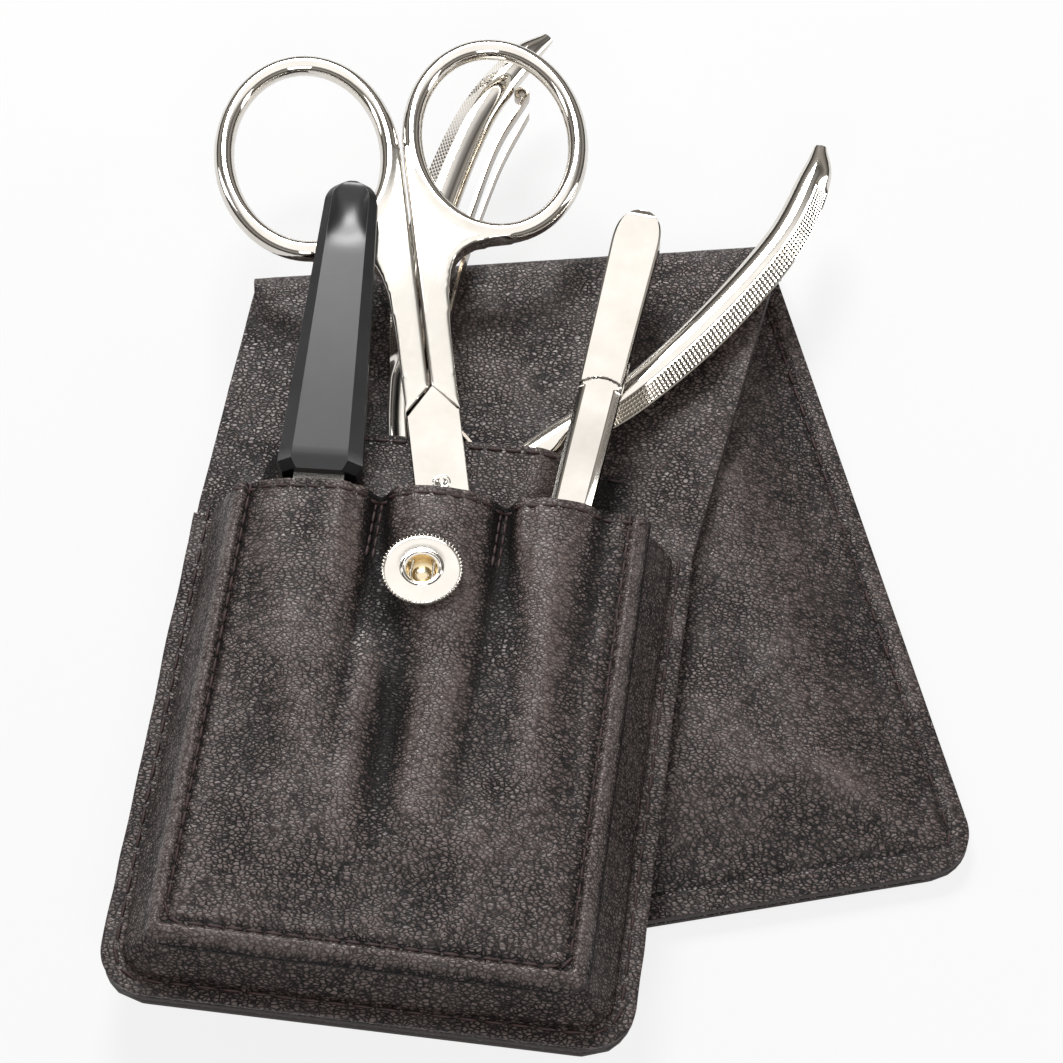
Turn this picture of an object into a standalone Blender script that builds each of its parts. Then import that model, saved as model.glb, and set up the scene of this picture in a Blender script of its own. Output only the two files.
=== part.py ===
"""Manicure set: a soft snap case with a file, scissors, tweezers and a nail nipper in its pockets.

The case lies on its back with the flap folded underneath. X runs across the case, Y from the
bottom of the pocket to the fold, Z up from the surface it lies on. Lengths are metres.
"""
import math

import bmesh
import bpy
from mathutils import Matrix, Vector

# Leather and clearances
LEATHER = 0.0011
LINING = 0.0008
CLEAR = 0.0003
OVERRUN = 0.002

# Back panel
CASE_WIDTH = 0.066
CASE_BOTTOM_Y = -0.0735
CASE_CORNER = 0.006
BACK_FLARE_START_Y = -0.002
FOLD_LEFT = Vector((-0.0325, 0.0370))
FOLD_RIGHT = Vector((0.0390, 0.0522))

# Flap, which lies folded under the case
FLAP_FREE_LEFT = Vector((0.0085, -0.0604))
FLAP_FREE_RIGHT = Vector((0.0742, -0.0394))
FLAP_CORNER = 0.007
FOLD_SEAM = 0.0008
FLAP_CROWN = 0.0030
FLAP_LINING_CROWN = 0.0023
FLAP_BORDER = 0.0040
FLAP_CROWN_RISE = 0.0070

# Front panel of the pocket
FACE_WIDTH = 0.0548
FACE_BOTTOM_Y = -0.0699
FACE_CORNER = 0.0030
HEM_Y = -0.0043
HEM_SKEW_share = 0.03
FACE_HEIGHT_BOTTOM = 0.0149
FACE_HEIGHT_MOUTH = 0.0166
FACE_DOME = 0.0015
FACE_DOME_RISE = 0.018
SLOT_EDGE_shares = (-0.894, -0.285, 0.307, 0.861)
SLOT_BULGE = 0.0016
SLOT_ROUNDNESS = 0.8
SLOT_FADE_START_Y = -0.058
SLOT_FADE_END_Y = -0.024
FACE_EDGE_ROLL = 0.0010
FACE_EDGE_ROLL_WIDTH = 0.0030

# Gusset between the back and the front panel
GUSSET_THICKNESS = 0.0008
GUSSET_FLANGE = 0.0030
GUSSET_TAB = 0.0034
GUSSET_SIDE_share = 0.36
GUSSET_CORNER_share = 0.06

# Inner panel, which parts the nipper from the three front slots
INNER_WIDTH = 0.0500
INNER_BOTTOM_Y = -0.0660
INNER_TOP_Y = 0.0080
INNER_TOP_SKEW_share = 0.035
INNER_CORNER = 0.0050
INNER_RISE = 0.0054
INNER_PLATEAU = 0.0105
INNER_FALL_END = 0.0205
INNER_CENTRE_X = -0.0030
INNER_MOUTH_WIDENING = 0.0033
INNER_MOUTH_START_Y = -0.0080
INNER_FADE_START_Y = -0.0600
INNER_FADE_END_Y = -0.0150

# Snap fastener
SNAP_X = -0.0004
SNAP_Y = -0.0172
SNAP_RADIUS = 0.0052
SNAP_BORE = 0.0021
SNAP_BEAD_RADIUS = 0.0026
SNAP_BEAD_HEIGHT = 0.0011
SNAP_DISH_HEIGHT = 0.0006
SNAP_RIM_HEIGHT = 0.0008
SNAP_BARREL_RADIUS = 0.0028
EYELET_FLANGE_RADIUS = 0.0042
EYELET_FLANGE = 0.0004
WIRE_RADIUS = 0.00022
WIRE_LENGTH = 0.0030
WIRE_OFFSET = 0.0012
STUD_FREE_END_OFFSET = 0.0165
STUD_HEAD_RADIUS = 0.0019
STUD_NECK_RADIUS = 0.0013
STUD_FLANGE_RADIUS = 0.0036
STUD_HEIGHT = 0.0018
STUD_BASE_RADIUS = 0.0048
STUD_BASE = 0.0004

# File
FILE_ACROSS_share = -0.595
FILE_Y = -0.0020
FILE_LEVEL = 0.0176
FILE_TURN = math.radians(3.3)
FILE_TILT = math.radians(3.0)
FILE_HANDLE_LENGTH = 0.0460
FILE_HANDLE_WIDTH = 0.0113
FILE_HANDLE_TOP_WIDTH = 0.0072
FILE_HANDLE_THICKNESS = 0.0050
FILE_HANDLE_TOP_THICKNESS = 0.0034
FILE_CHAMFER = 0.0011
FILE_DISH_LENGTH = 0.0080
FILE_DISH_DEPTH = 0.0007
FILE_MOUTH_share = 0.86
FILE_BLADE_LENGTH = 0.0500
FILE_BLADE_WIDTH = 0.0066
FILE_BLADE_THICKNESS = 0.0012
FILE_TANG = 0.0100

# Scissors
SCISSORS_PLACE = Vector((-0.0004, -0.0007, 0.0159))
SCISSORS_TURN = math.radians(14.0)
RING_HALF_WIDTH = 0.0115
RING_HALF_LENGTH = 0.0163
RING_CENTRE = 0.0564
RING_WIRE_RADIUS = 0.00145
SHANK_WIDTH = 0.0036
SHANK_HALF_THICKNESS = 0.00135
SHANK_APEX = 0.0153
SHANK_SHOULDER = 0.0112
SHANK_FLARE_START = 0.0310
SHANK_FLARE_END = 0.0415
SHANK_FLARE_WIDTH = 0.0068
SHANK_END = 0.0480
BLADE_HALF_WIDTH = 0.0035
BLADE_LENGTH = 0.0350
BLADE_TIP_WIDTH = 0.0012
BLADE_TIP_THICKNESS = 0.0006
SCISSORS_SCREW_RADIUS = 0.0012
SCISSORS_SCREW_HEAD = 0.0003

# Tweezers
TWEEZERS_PLACE = Vector((0.0207, 0.0462, 0.0169))
TWEEZERS_TURN = math.radians(-4.8)
TWEEZERS_TILT = math.radians(2.0)
TWEEZERS_LENGTH = 0.0900
TWEEZERS_HEAD = 0.0290
TWEEZERS_HEAD_WIDTH = 0.0065
TWEEZERS_END_WIDTH = 0.0030
TWEEZERS_SHOULDER_LENGTH = 0.0060
TWEEZERS_ARM_WIDTH = 0.0056
TWEEZERS_TIP_WIDTH = 0.0022
TWEEZERS_METAL = 0.0013
TWEEZERS_HEAD_GAP = 0.0009
TWEEZERS_HALF_DEPTH = 0.0025
TWEEZERS_SPREAD_START = 0.0500
TWEEZERS_TIP_HALF_DEPTH = 0.0027
TWEEZERS_ROW_POWER = 1.4

# Nipper
NIPPER_PLACE = Vector((-0.0040, -0.0020, 0.0106))
NIPPER_TURN = math.radians(-20.0)
JOINT_RADIUS = 0.0055
JOINT_HALF_THICKNESS = 0.0025
HANDLE_FLATTEN_share = 0.667
JAW_LENGTH = 0.0200
JAW_WIDTH = 0.0042
JAW_TIP_WIDTH = 0.0012
JAW_TIP_HALF_THICKNESS = 0.0012
JAW_GAP = 0.0006
JAW_TIP_GAP = 0.0018
NIPPER_SCREW_RADIUS = 0.0018
SPRING_WIDTH = 0.0028
SPRING_THICKNESS = 0.0006
RIVET_RADIUS = 0.0008
RIVET_LENGTH = 0.0008
JOINT_OVERRUN = 0.0040
# Stations of the right handle's centre line: along the nipper's axis, across it, half width
HANDLE_STATIONS = (
    (0.0042, 0.0032, 0.0022),
    (0.0120, 0.0080, 0.0023),
    (0.0207, 0.0122, 0.0025),
    (0.0305, 0.0170, 0.0027),
    (0.0460, 0.0215, 0.0030),
    (0.0625, 0.0241, 0.0028),
    (0.0744, 0.0233, 0.0023),
    (0.0802, 0.0216, 0.0009),
)
# The springs' centre lines, along and across the nipper's axis
RIGHT_SPRING_ROUTE = (
    (0.0082, 0.0023),
    (0.0104, 0.0037),
    (0.0124, 0.0034),
    (0.0140, 0.0016),
    (0.0162, -0.0018),
    (0.0200, -0.0056),
    (0.0260, -0.0088),
    (0.0330, -0.0116),
    (0.0400, -0.0137),
    (0.0480, -0.0154),
    (0.0570, -0.0170),
    (0.0662, -0.0177),
)
LEFT_SPRING_ROUTE = (
    (0.0125, -0.0051),
    (0.0165, -0.0070),
    (0.0240, -0.0102),
    (0.0340, -0.0138),
    (0.0460, -0.0163),
    (0.0590, -0.0189),
    (0.0690, -0.0192),
)

# Levels of the stack, each from the one below
FLAP_LINING_Z = 0.0
FLAP_LEATHER_Z = FLAP_LINING_Z + LINING + CLEAR
FLAP_TOP_Z = FLAP_LEATHER_Z + LEATHER
BACK_LEATHER_Z = FLAP_TOP_Z + FLAP_CROWN + CLEAR
BACK_LINING_Z = BACK_LEATHER_Z + LEATHER + CLEAR
BACK_TOP_Z = BACK_LINING_Z + LINING
FOLD_RADIUS = BACK_TOP_Z / 2
FOLD_THICKNESS = FLAP_TOP_Z

# The origin lies on the flap's flat border, beside the fold on the case's centre line
FOLD_ALONG = (FOLD_RIGHT - FOLD_LEFT).normalized()
FOLD_INWARD = Vector((FOLD_ALONG.y, -FOLD_ALONG.x))
HINGE_LEFT = FOLD_LEFT + FOLD_INWARD * FOLD_RADIUS
HINGE_RIGHT = FOLD_RIGHT + FOLD_INWARD * FOLD_RADIUS

FOLD_MIDDLE_Y = HINGE_LEFT.lerp(HINGE_RIGHT, -HINGE_LEFT.x / (HINGE_RIGHT.x - HINGE_LEFT.x)).y
REST_POINT_Y = FOLD_MIDDLE_Y - FOLD_SEAM - FLAP_BORDER / 2

CIRCLE_SIDES = 24
ARC_STEPS = 4


def material(name, colour, roughness, metallic):
    """A Principled material in linear colour."""
    made = bpy.data.materials.new(name)
    made.use_nodes = True
    shader = made.node_tree.nodes["Principled BSDF"]
    shader.inputs["Base Color"].default_value = (*colour, 1.0)
    shader.inputs["Roughness"].default_value = roughness
    shader.inputs["Metallic"].default_value = metallic
    made.diffuse_color = (*colour, 1.0)
    return made


def smoothstep(value):
    """Ease from 0 to 1."""
    held = min(max(value, 0.0), 1.0)
    return held * held * (3.0 - 2.0 * held)


def keep(name, mesh, finish, collection):
    """Put a mesh into the collection as a named object with its finish."""
    made = bpy.data.objects.new(name, mesh)
    collection.objects.link(made)
    mesh.materials.clear()
    mesh.materials.append(finish)
    mesh.shade_smooth()
    mesh.set_sharp_from_angle(angle=math.radians(35.0))
    return made


def mesh_of(made):
    """The evaluated mesh of an object, its caps welded, in the object's own frame."""
    bpy.context.view_layer.update()
    graph = bpy.context.evaluated_depsgraph_get()
    mesh = bpy.data.meshes.new_from_object(made.evaluated_get(graph))
    work = bmesh.new()
    work.from_mesh(mesh)
    bmesh.ops.remove_doubles(work, verts=work.verts, dist=CLEAR / 100)
    bmesh.ops.recalc_face_normals(work, faces=work.faces)
    work.to_mesh(mesh)
    work.free()
    return mesh


def sheet(name, place, across, along, thickness, finish, collection):
    """An open grid placed by a function of two shares, thickened upwards from its face."""
    work = bmesh.new()
    bmesh.ops.create_grid(work, x_segments=across, y_segments=along, size=1.0)
    for vert in work.verts:
        vert.co = place((vert.co.x + 1.0) / 2.0, (vert.co.y + 1.0) / 2.0)
    mesh = bpy.data.meshes.new(name)
    work.to_mesh(mesh)
    work.free()
    made = keep(name, mesh, finish, collection)
    solid = made.modifiers.new("Thickness", "SOLIDIFY")
    solid.thickness = thickness
    solid.offset = 1.0
    return made


def prism(name, outline, low, high, finish, collection):
    """A closed plate over a flat outline, between two heights that may slope along Y."""
    work = bmesh.new()
    base = [work.verts.new((x, y, low(y))) for x, y in outline]
    face = work.faces.new(base)
    grown = bmesh.ops.extrude_face_region(work, geom=[face])
    for item in grown["geom"]:
        if isinstance(item, bmesh.types.BMVert):
            item.co.z = high(item.co.y)
    bmesh.ops.recalc_face_normals(work, faces=work.faces)
    mesh = bpy.data.meshes.new(name)
    work.to_mesh(mesh)
    work.free()
    return keep(name, mesh, finish, collection)


def turned(name, profile, finish, collection):
    """A turned piece: its outer side runs top to bottom, both ends lie on the axis or meet."""
    work = bmesh.new()
    verts = [work.verts.new((radius, 0.0, height)) for radius, height in profile]
    for first, second in zip(verts, verts[1:]):
        work.edges.new((first, second))
    mesh = bpy.data.meshes.new(name)
    work.to_mesh(mesh)
    work.free()
    made = keep(name, mesh, finish, collection)
    screw = made.modifiers.new("Turn", "SCREW")
    screw.steps = CIRCLE_SIDES
    screw.render_steps = CIRCLE_SIDES
    screw.use_merge_vertices = True
    screw.merge_threshold = 0.00001
    return made


def cylinder(name, radius, low, high, finish, collection):
    """A closed upright cylinder on the local Z axis."""
    work = bmesh.new()
    bmesh.ops.create_cone(
        work, cap_ends=True, segments=CIRCLE_SIDES, radius1=radius, radius2=radius,
        depth=high - low, matrix=Matrix.Translation((0.0, 0.0, (high + low) / 2.0)),
    )
    mesh = bpy.data.meshes.new(name)
    work.to_mesh(mesh)
    work.free()
    return keep(name, mesh, finish, collection)


def smooth_route(points, steps):
    """Points on a Catmull-Rom curve through the given ones."""
    held = [Vector(point) for point in points]
    held = [2 * held[0] - held[1], *held, 2 * held[-1] - held[-2]]
    route = []
    for index in range(1, len(held) - 2):
        before, start, end, after = held[index - 1:index + 3]
        for step in range(steps):
            t = step / steps
            route.append(0.5 * (
                2 * start + (end - before) * t
                + (2 * before - 5 * start + 4 * end - after) * t ** 2
                + (3 * start - before - 3 * end + after) * t ** 3
            ))
    route.append(held[-2])
    return route


def tube(name, route, radii, cyclic, finish, collection):
    """A round bar along a route, as a mesh with welded caps."""
    curve = bpy.data.curves.new(name, "CURVE")
    curve.dimensions = "3D"
    curve.bevel_depth = 1.0
    curve.bevel_resolution = 2
    curve.use_fill_caps = not cyclic
    spline = curve.splines.new("POLY")
    spline.points.add(len(route) - 1)
    for point, place, radius in zip(spline.points, route, radii):
        point.co = (*place, 1.0)
        point.radius = radius
    spline.use_cyclic_u = cyclic
    scratch = bpy.data.objects.new(name + "_curve", curve)
    collection.objects.link(scratch)
    mesh = mesh_of(scratch)
    bpy.data.objects.remove(scratch)
    return keep(name, mesh, finish, collection)


def combine(target, tools, operation):
    """Apply Boolean operations to an object with other objects, which are then removed."""
    for tool in tools:
        modifier = target.modifiers.new(operation.title(), "BOOLEAN")
        modifier.operation = operation
        modifier.solver = "EXACT"
        modifier.object = tool
    mesh = mesh_of(target)
    target.modifiers.clear()
    mesh.materials.clear()
    mesh.materials.append(target.data.materials[0])
    target.data = mesh
    mesh.shade_smooth()
    mesh.set_sharp_from_angle(angle=math.radians(35.0))
    for tool in tools:
        bpy.data.objects.remove(tool)
    return target


def bevel(made, width):
    """Chamfer the sharp edges of a piece."""
    modifier = made.modifiers.new("Edges", "BEVEL")
    modifier.width = width
    modifier.segments = 1
    modifier.limit_method = "ANGLE"
    modifier.angle_limit = math.radians(40.0)


def frame_at(name, place, turn, tilt, collection):
    """An empty that carries a tool in its own frame, Y along the tool."""
    carrier = bpy.data.objects.new(name, None)
    collection.objects.link(carrier)
    carrier.location = place
    carrier.rotation_euler = (tilt, 0.0, turn)
    return carrier


def corner_arc(centre, radius, start, end):
    """Points of an arc between two angles in degrees."""
    points = []
    for step in range(ARC_STEPS + 1):
        angle = math.radians(start + (end - start) * step / ARC_STEPS)
        points.append((centre[0] + radius * math.cos(angle), centre[1] + radius * math.sin(angle)))
    return points


def corner_inset(distance, radius):
    """How far a rounded corner draws a row in, at a distance from the end edge."""
    if distance >= radius:
        return 0.0
    return radius - math.sqrt(max(radius ** 2 - (radius - distance) ** 2, 0.0))


def back_outline(edge):
    """The back panel, drawn in from its edge by the given amount."""
    half = CASE_WIDTH / 2 - edge
    low = CASE_BOTTOM_Y + edge
    corner = CASE_CORNER - edge
    top_left = HINGE_LEFT + FOLD_INWARD * FOLD_SEAM + FOLD_ALONG * edge
    top_right = HINGE_RIGHT + FOLD_INWARD * FOLD_SEAM - FOLD_ALONG * edge
    return [
        *corner_arc((-half + corner, low + corner), corner, 180, 270),
        *corner_arc((half - corner, low + corner), corner, 270, 360),
        (half, BACK_FLARE_START_Y),
        (top_right.x, top_right.y),
        (top_left.x, top_left.y),
    ]


def build_back(leather, lining, collection):
    """The two flat layers of the back."""
    prism(
        "back_outer_leather", back_outline(0.0), lambda y: BACK_LEATHER_Z,
        lambda y: BACK_LEATHER_Z + LEATHER, leather, collection,
    )
    prism(
        "back_lining", back_outline(0.0), lambda y: BACK_LINING_Z,
        lambda y: BACK_TOP_Z, lining, collection,
    )


def flap_place(level, crown):
    """The flap's lower face: flat along its stitched border, crowned inside it."""
    near_left = HINGE_LEFT + FOLD_INWARD * FOLD_SEAM
    near_right = HINGE_RIGHT + FOLD_INWARD * FOLD_SEAM
    length = ((FLAP_FREE_LEFT - near_left).length + (FLAP_FREE_RIGHT - near_right).length) / 2
    width = ((near_right - near_left).length + (FLAP_FREE_RIGHT - FLAP_FREE_LEFT).length) / 2

    def place(s, t):
        row = (1.0 - math.cos((1.0 - t) * math.pi)) / 2
        left = near_left.lerp(FLAP_FREE_LEFT, row)
        right = near_right.lerp(FLAP_FREE_RIGHT, row)
        from_free = (1.0 - row) * length
        inset = corner_inset(from_free, FLAP_CORNER) / width
        across = inset + (1.0 - 2.0 * inset) * s
        spot = left.lerp(right, across)
        edge = min(across * width, (1.0 - across) * width, from_free, row * length)
        inside = edge - inset * width - FLAP_BORDER
        lift = crown * smoothstep(inside / FLAP_CROWN_RISE)
        return Vector((spot.x, spot.y, level + lift))

    return place


def build_flap(leather, lining, collection):
    """The flap's leather and lining, and the strip that rolls over at the fold."""
    sheet(
        "flap_outer_leather", flap_place(FLAP_LEATHER_Z, FLAP_CROWN), 18, 24, LEATHER,
        leather, collection,
    )
    flap_lining = sheet(
        "flap_lining", flap_place(FLAP_LINING_Z, FLAP_LINING_CROWN), 18, 24, LINING,
        lining, collection,
    )

    def roll_place(s, t):
        turn = math.pi * (t - 0.5)
        reach = (FOLD_RADIUS - FOLD_THICKNESS) * math.cos(turn)
        spot = HINGE_LEFT.lerp(HINGE_RIGHT, s) - FOLD_INWARD * reach
        height = FOLD_RADIUS + (FOLD_RADIUS - FOLD_THICKNESS) * math.sin(turn)
        return Vector((spot.x, spot.y, height))

    fold = sheet("flap_fold", roll_place, 2, 10, FOLD_THICKNESS, leather, collection)
    fold.modifiers["Thickness"].offset = -1.0
    return flap_lining


def face_under(x, y):
    """Height of the underside of the pocket's front at a place."""
    up = min(max((y - FACE_BOTTOM_Y) / (HEM_Y - FACE_BOTTOM_Y), 0.0), 1.0)
    base = FACE_HEIGHT_BOTTOM + (FACE_HEIGHT_MOUTH - FACE_HEIGHT_BOTTOM) * up
    share = min(abs(x) / (FACE_WIDTH / 2), 1.0)
    dome = FACE_DOME * (1.0 - share ** 2) * smoothstep((y - FACE_BOTTOM_Y) / FACE_DOME_RISE)
    fade = smoothstep((y - SLOT_FADE_START_Y) / (SLOT_FADE_END_Y - SLOT_FADE_START_Y))
    bulge = 0.0
    for left_share, right_share in zip(SLOT_EDGE_shares, SLOT_EDGE_shares[1:]):
        left = FACE_WIDTH / 2 * left_share
        right = FACE_WIDTH / 2 * right_share
        if left < x < right:
            swell = math.sin(math.pi * (x - left) / (right - left))
            bulge = SLOT_BULGE * swell ** SLOT_ROUNDNESS
    edge = min(FACE_WIDTH / 2 - abs(x), y - FACE_BOTTOM_Y)
    roll = FACE_EDGE_ROLL * (1.0 - smoothstep(edge / FACE_EDGE_ROLL_WIDTH))
    return base + dome + bulge * fade - roll


def hem_y(x):
    """The mouth's edge, which slants a little across the case."""
    return HEM_Y + HEM_SKEW_share * x


def face_place(width, bottom_y, top_drop, corner, level):
    """A sheet over the pocket's front, at a level above its underside."""
    half = width / 2

    def place(s, t):
        row = 1.0 - math.sin((1.0 - t) * math.pi / 2)
        from_bottom = row * (HEM_Y - top_drop - bottom_y)
        inset = corner_inset(from_bottom, corner)
        x = (half - inset) * (2.0 * s - 1.0)
        y = bottom_y + row * (hem_y(x) - top_drop - bottom_y)
        return Vector((x, y, face_under(x, y) + level))

    return place


def u_station(half, bottom_y, corner, top_y, share):
    """A place on a round-cornered U, down the left side, along the bottom and up the right."""
    mirror = share > 0.5
    part = 1.0 - share if mirror else share
    past_side = part - GUSSET_SIDE_share
    past_corner = past_side - GUSSET_CORNER_share
    if past_side < 0.0:
        x = -half
        y = top_y + (bottom_y + corner - top_y) * part / GUSSET_SIDE_share
    elif past_corner < 0.0:
        angle = math.pi / 2 * past_side / GUSSET_CORNER_share
        x = -half + corner - corner * math.cos(angle)
        y = bottom_y + corner - corner * math.sin(angle)
    else:
        half_bottom_share = 0.5 - GUSSET_SIDE_share - GUSSET_CORNER_share
        x = (-half + corner) * (1.0 - past_corner / half_bottom_share)
        y = bottom_y
    return Vector((-x if mirror else x, y))


def build_gusset(leather, collection):
    """The strip that walls the pocket: stitched flange, leaning wall and turned-in tab."""
    rim = (CASE_WIDTH / 2, CASE_BOTTOM_Y, CASE_CORNER)
    ridge = (FACE_WIDTH / 2 - CLEAR, FACE_BOTTOM_Y + CLEAR, FACE_CORNER)
    foot_z = BACK_TOP_Z + CLEAR
    # Each profile point: share of the way from rim to ridge, inset from that line, height share
    profile_shares = ((0.0, 0.0, 0.0), (0.0, 1.0, 0.0), (0.62, 0.42, 0.5), (1.0, 0.0, 1.0))

    def line(path, inset, share):
        half, low, corner = path
        return u_station(half - inset, low + inset, max(corner - inset, CLEAR), HEM_Y, share)

    def place(s, t):
        index = round(t * 4)
        if index == 4:
            spot = line(ridge, GUSSET_TAB, s)
            return Vector((spot.x, spot.y, face_under(spot.x, spot.y)))
        mix, flange, rise = profile_shares[index]
        outer = line(rim, GUSSET_FLANGE * flange, s)
        inner = line(ridge, GUSSET_THICKNESS, s)
        spot = outer.lerp(inner, mix)
        top = face_under(inner.x, inner.y)
        return Vector((spot.x, spot.y, foot_z + (top - foot_z) * rise))

    return sheet("pocket_gusset", place, 50, 4, GUSSET_THICKNESS, leather, collection)


def inner_under(x, y):
    """Height of the inner panel's underside, raised over the nipper's joint and jaws."""
    opening = smoothstep((y - INNER_MOUTH_START_Y) / (HEM_Y - INNER_MOUTH_START_Y + INNER_TOP_Y))
    aside = abs(x - INNER_CENTRE_X) - INNER_MOUTH_WIDENING * opening
    across = smoothstep((INNER_FALL_END - aside) / (INNER_FALL_END - INNER_PLATEAU))
    along = smoothstep((y - INNER_FADE_START_Y) / (INNER_FADE_END_Y - INNER_FADE_START_Y))
    return BACK_TOP_Z + CLEAR + INNER_RISE * across * along


def build_inner_panel(lining, collection):
    """The panel that parts the nipper's pocket from the three front slots."""
    half = INNER_WIDTH / 2

    def place(s, t):
        row = math.sin(t * math.pi / 2)
        from_top = (1.0 - row) * (INNER_TOP_Y - INNER_BOTTOM_Y)
        inset = corner_inset(from_top, INNER_CORNER)
        x = (half - inset) * (2.0 * s - 1.0)
        y = INNER_BOTTOM_Y + row * (INNER_TOP_Y + INNER_TOP_SKEW_share * x - INNER_BOTTOM_Y)
        return Vector((x, y, inner_under(x, y)))

    return sheet("inner_panel", place, 22, 18, LINING, lining, collection)


def snap_seat():
    """The pocket's outer face under the socket."""
    return face_under(SNAP_X, SNAP_Y) + LINING + CLEAR + LEATHER


def build_pocket(leather, lining, metal, brass, collection):
    """The pocket's front with the snap socket set through it."""
    face = sheet(
        "pocket_front_leather",
        face_place(FACE_WIDTH, FACE_BOTTOM_Y, 0.0, FACE_CORNER, LINING + CLEAR),
        34, 24, LEATHER, leather, collection,
    )
    inside = GUSSET_TAB + 3 * CLEAR
    backing = sheet(
        "pocket_front_lining",
        face_place(FACE_WIDTH - 2 * inside, FACE_BOTTOM_Y + inside, 0.0, FACE_CORNER, 0.0),
        30, 22, LINING, lining, collection,
    )
    top = snap_seat()
    under = face_under(SNAP_X, SNAP_Y)
    for panel in (face, backing):
        hole = cylinder(
            "socket_hole", SNAP_BARREL_RADIUS + CLEAR, under - OVERRUN, top + OVERRUN,
            metal, collection,
        )
        hole.location = (SNAP_X, SNAP_Y, 0.0)
        combine(panel, [hole], "DIFFERENCE")
    shell = turned("snap_socket_shell", [
        (SNAP_BORE, top + CLEAR + SNAP_BEAD_HEIGHT),
        (SNAP_BEAD_RADIUS, top + CLEAR + SNAP_BEAD_HEIGHT),
        (SNAP_BEAD_RADIUS + CLEAR, top + CLEAR + SNAP_DISH_HEIGHT),
        (SNAP_RADIUS - 2 * CLEAR, top + CLEAR + SNAP_RIM_HEIGHT),
        (SNAP_RADIUS, top + CLEAR + SNAP_DISH_HEIGHT),
        (SNAP_RADIUS, top + CLEAR),
        (SNAP_BARREL_RADIUS, top + CLEAR),
        (SNAP_BARREL_RADIUS, under + CLEAR),
        (SNAP_BARREL_RADIUS - CLEAR, under + CLEAR),
        (SNAP_BARREL_RADIUS - CLEAR, top),
        (SNAP_BORE, top + CLEAR),
        (SNAP_BORE, top + CLEAR + SNAP_BEAD_HEIGHT),
    ], metal, collection)
    shell.location = (SNAP_X, SNAP_Y, 0.0)
    lowest = min(
        face_under(SNAP_X + side * EYELET_FLANGE_RADIUS, SNAP_Y + end * EYELET_FLANGE_RADIUS)
        for side in (-1, 0, 1) for end in (-1, 0, 1)
    )
    seat = lowest - CLEAR
    eyelet = turned("snap_socket_eyelet", [
        (SNAP_BORE, seat),
        (EYELET_FLANGE_RADIUS, seat),
        (EYELET_FLANGE_RADIUS, seat - EYELET_FLANGE),
        (SNAP_BORE, seat - EYELET_FLANGE),
        (SNAP_BORE, seat),
    ], brass, collection)
    eyelet.location = (SNAP_X, SNAP_Y, 0.0)
    for name, side in (("snap_socket_wire_left", -1.0), ("snap_socket_wire_right", 1.0)):
        route = []
        for step in range(5):
            share = step / 4 - 0.5
            bow = 1.0 - (2.0 * share) ** 2
            route.append((
                SNAP_X + side * (WIRE_OFFSET + WIRE_RADIUS * bow),
                SNAP_Y + WIRE_LENGTH * share,
                top - CLEAR - WIRE_RADIUS,
            ))
        tube(name, route, [WIRE_RADIUS] * len(route), False, metal, collection)


def build_stud(flap_lining, metal, brass, collection):
    """The stud, set through the flap's lining with its base hidden between the layers."""
    free = FLAP_FREE_LEFT.lerp(FLAP_FREE_RIGHT, 0.5)
    near = HINGE_LEFT.lerp(HINGE_RIGHT, 0.5)
    inward = (near - free).normalized()
    spot = free + inward * STUD_FREE_END_OFFSET
    lining_low = FLAP_LINING_Z + FLAP_LINING_CROWN
    lining_high = lining_low + LINING
    hole = cylinder(
        "stud_hole", STUD_NECK_RADIUS + CLEAR, lining_low - OVERRUN, lining_high + OVERRUN,
        metal, collection,
    )
    hole.location = (spot.x, spot.y, 0.0)
    combine(flap_lining, [hole], "DIFFERENCE")
    stud = turned("snap_stud", [
        (0.0, lining_high),
        (STUD_NECK_RADIUS, lining_high),
        (STUD_NECK_RADIUS, lining_low - CLEAR),
        (STUD_FLANGE_RADIUS, lining_low - CLEAR),
        (STUD_FLANGE_RADIUS, lining_low - 2 * CLEAR),
        (STUD_NECK_RADIUS, lining_low - 2 * CLEAR),
        (STUD_HEAD_RADIUS, lining_low - STUD_HEIGHT + 2 * CLEAR),
        (STUD_NECK_RADIUS, lining_low - STUD_HEIGHT),
        (0.0, lining_low - STUD_HEIGHT),
    ], metal, collection)
    stud.location = (spot.x, spot.y, 0.0)
    base_low = lining_high + CLEAR
    base = cylinder(
        "snap_stud_base", STUD_BASE_RADIUS, base_low, base_low + STUD_BASE, brass, collection,
    )
    base.location = (spot.x, spot.y, 0.0)


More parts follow.
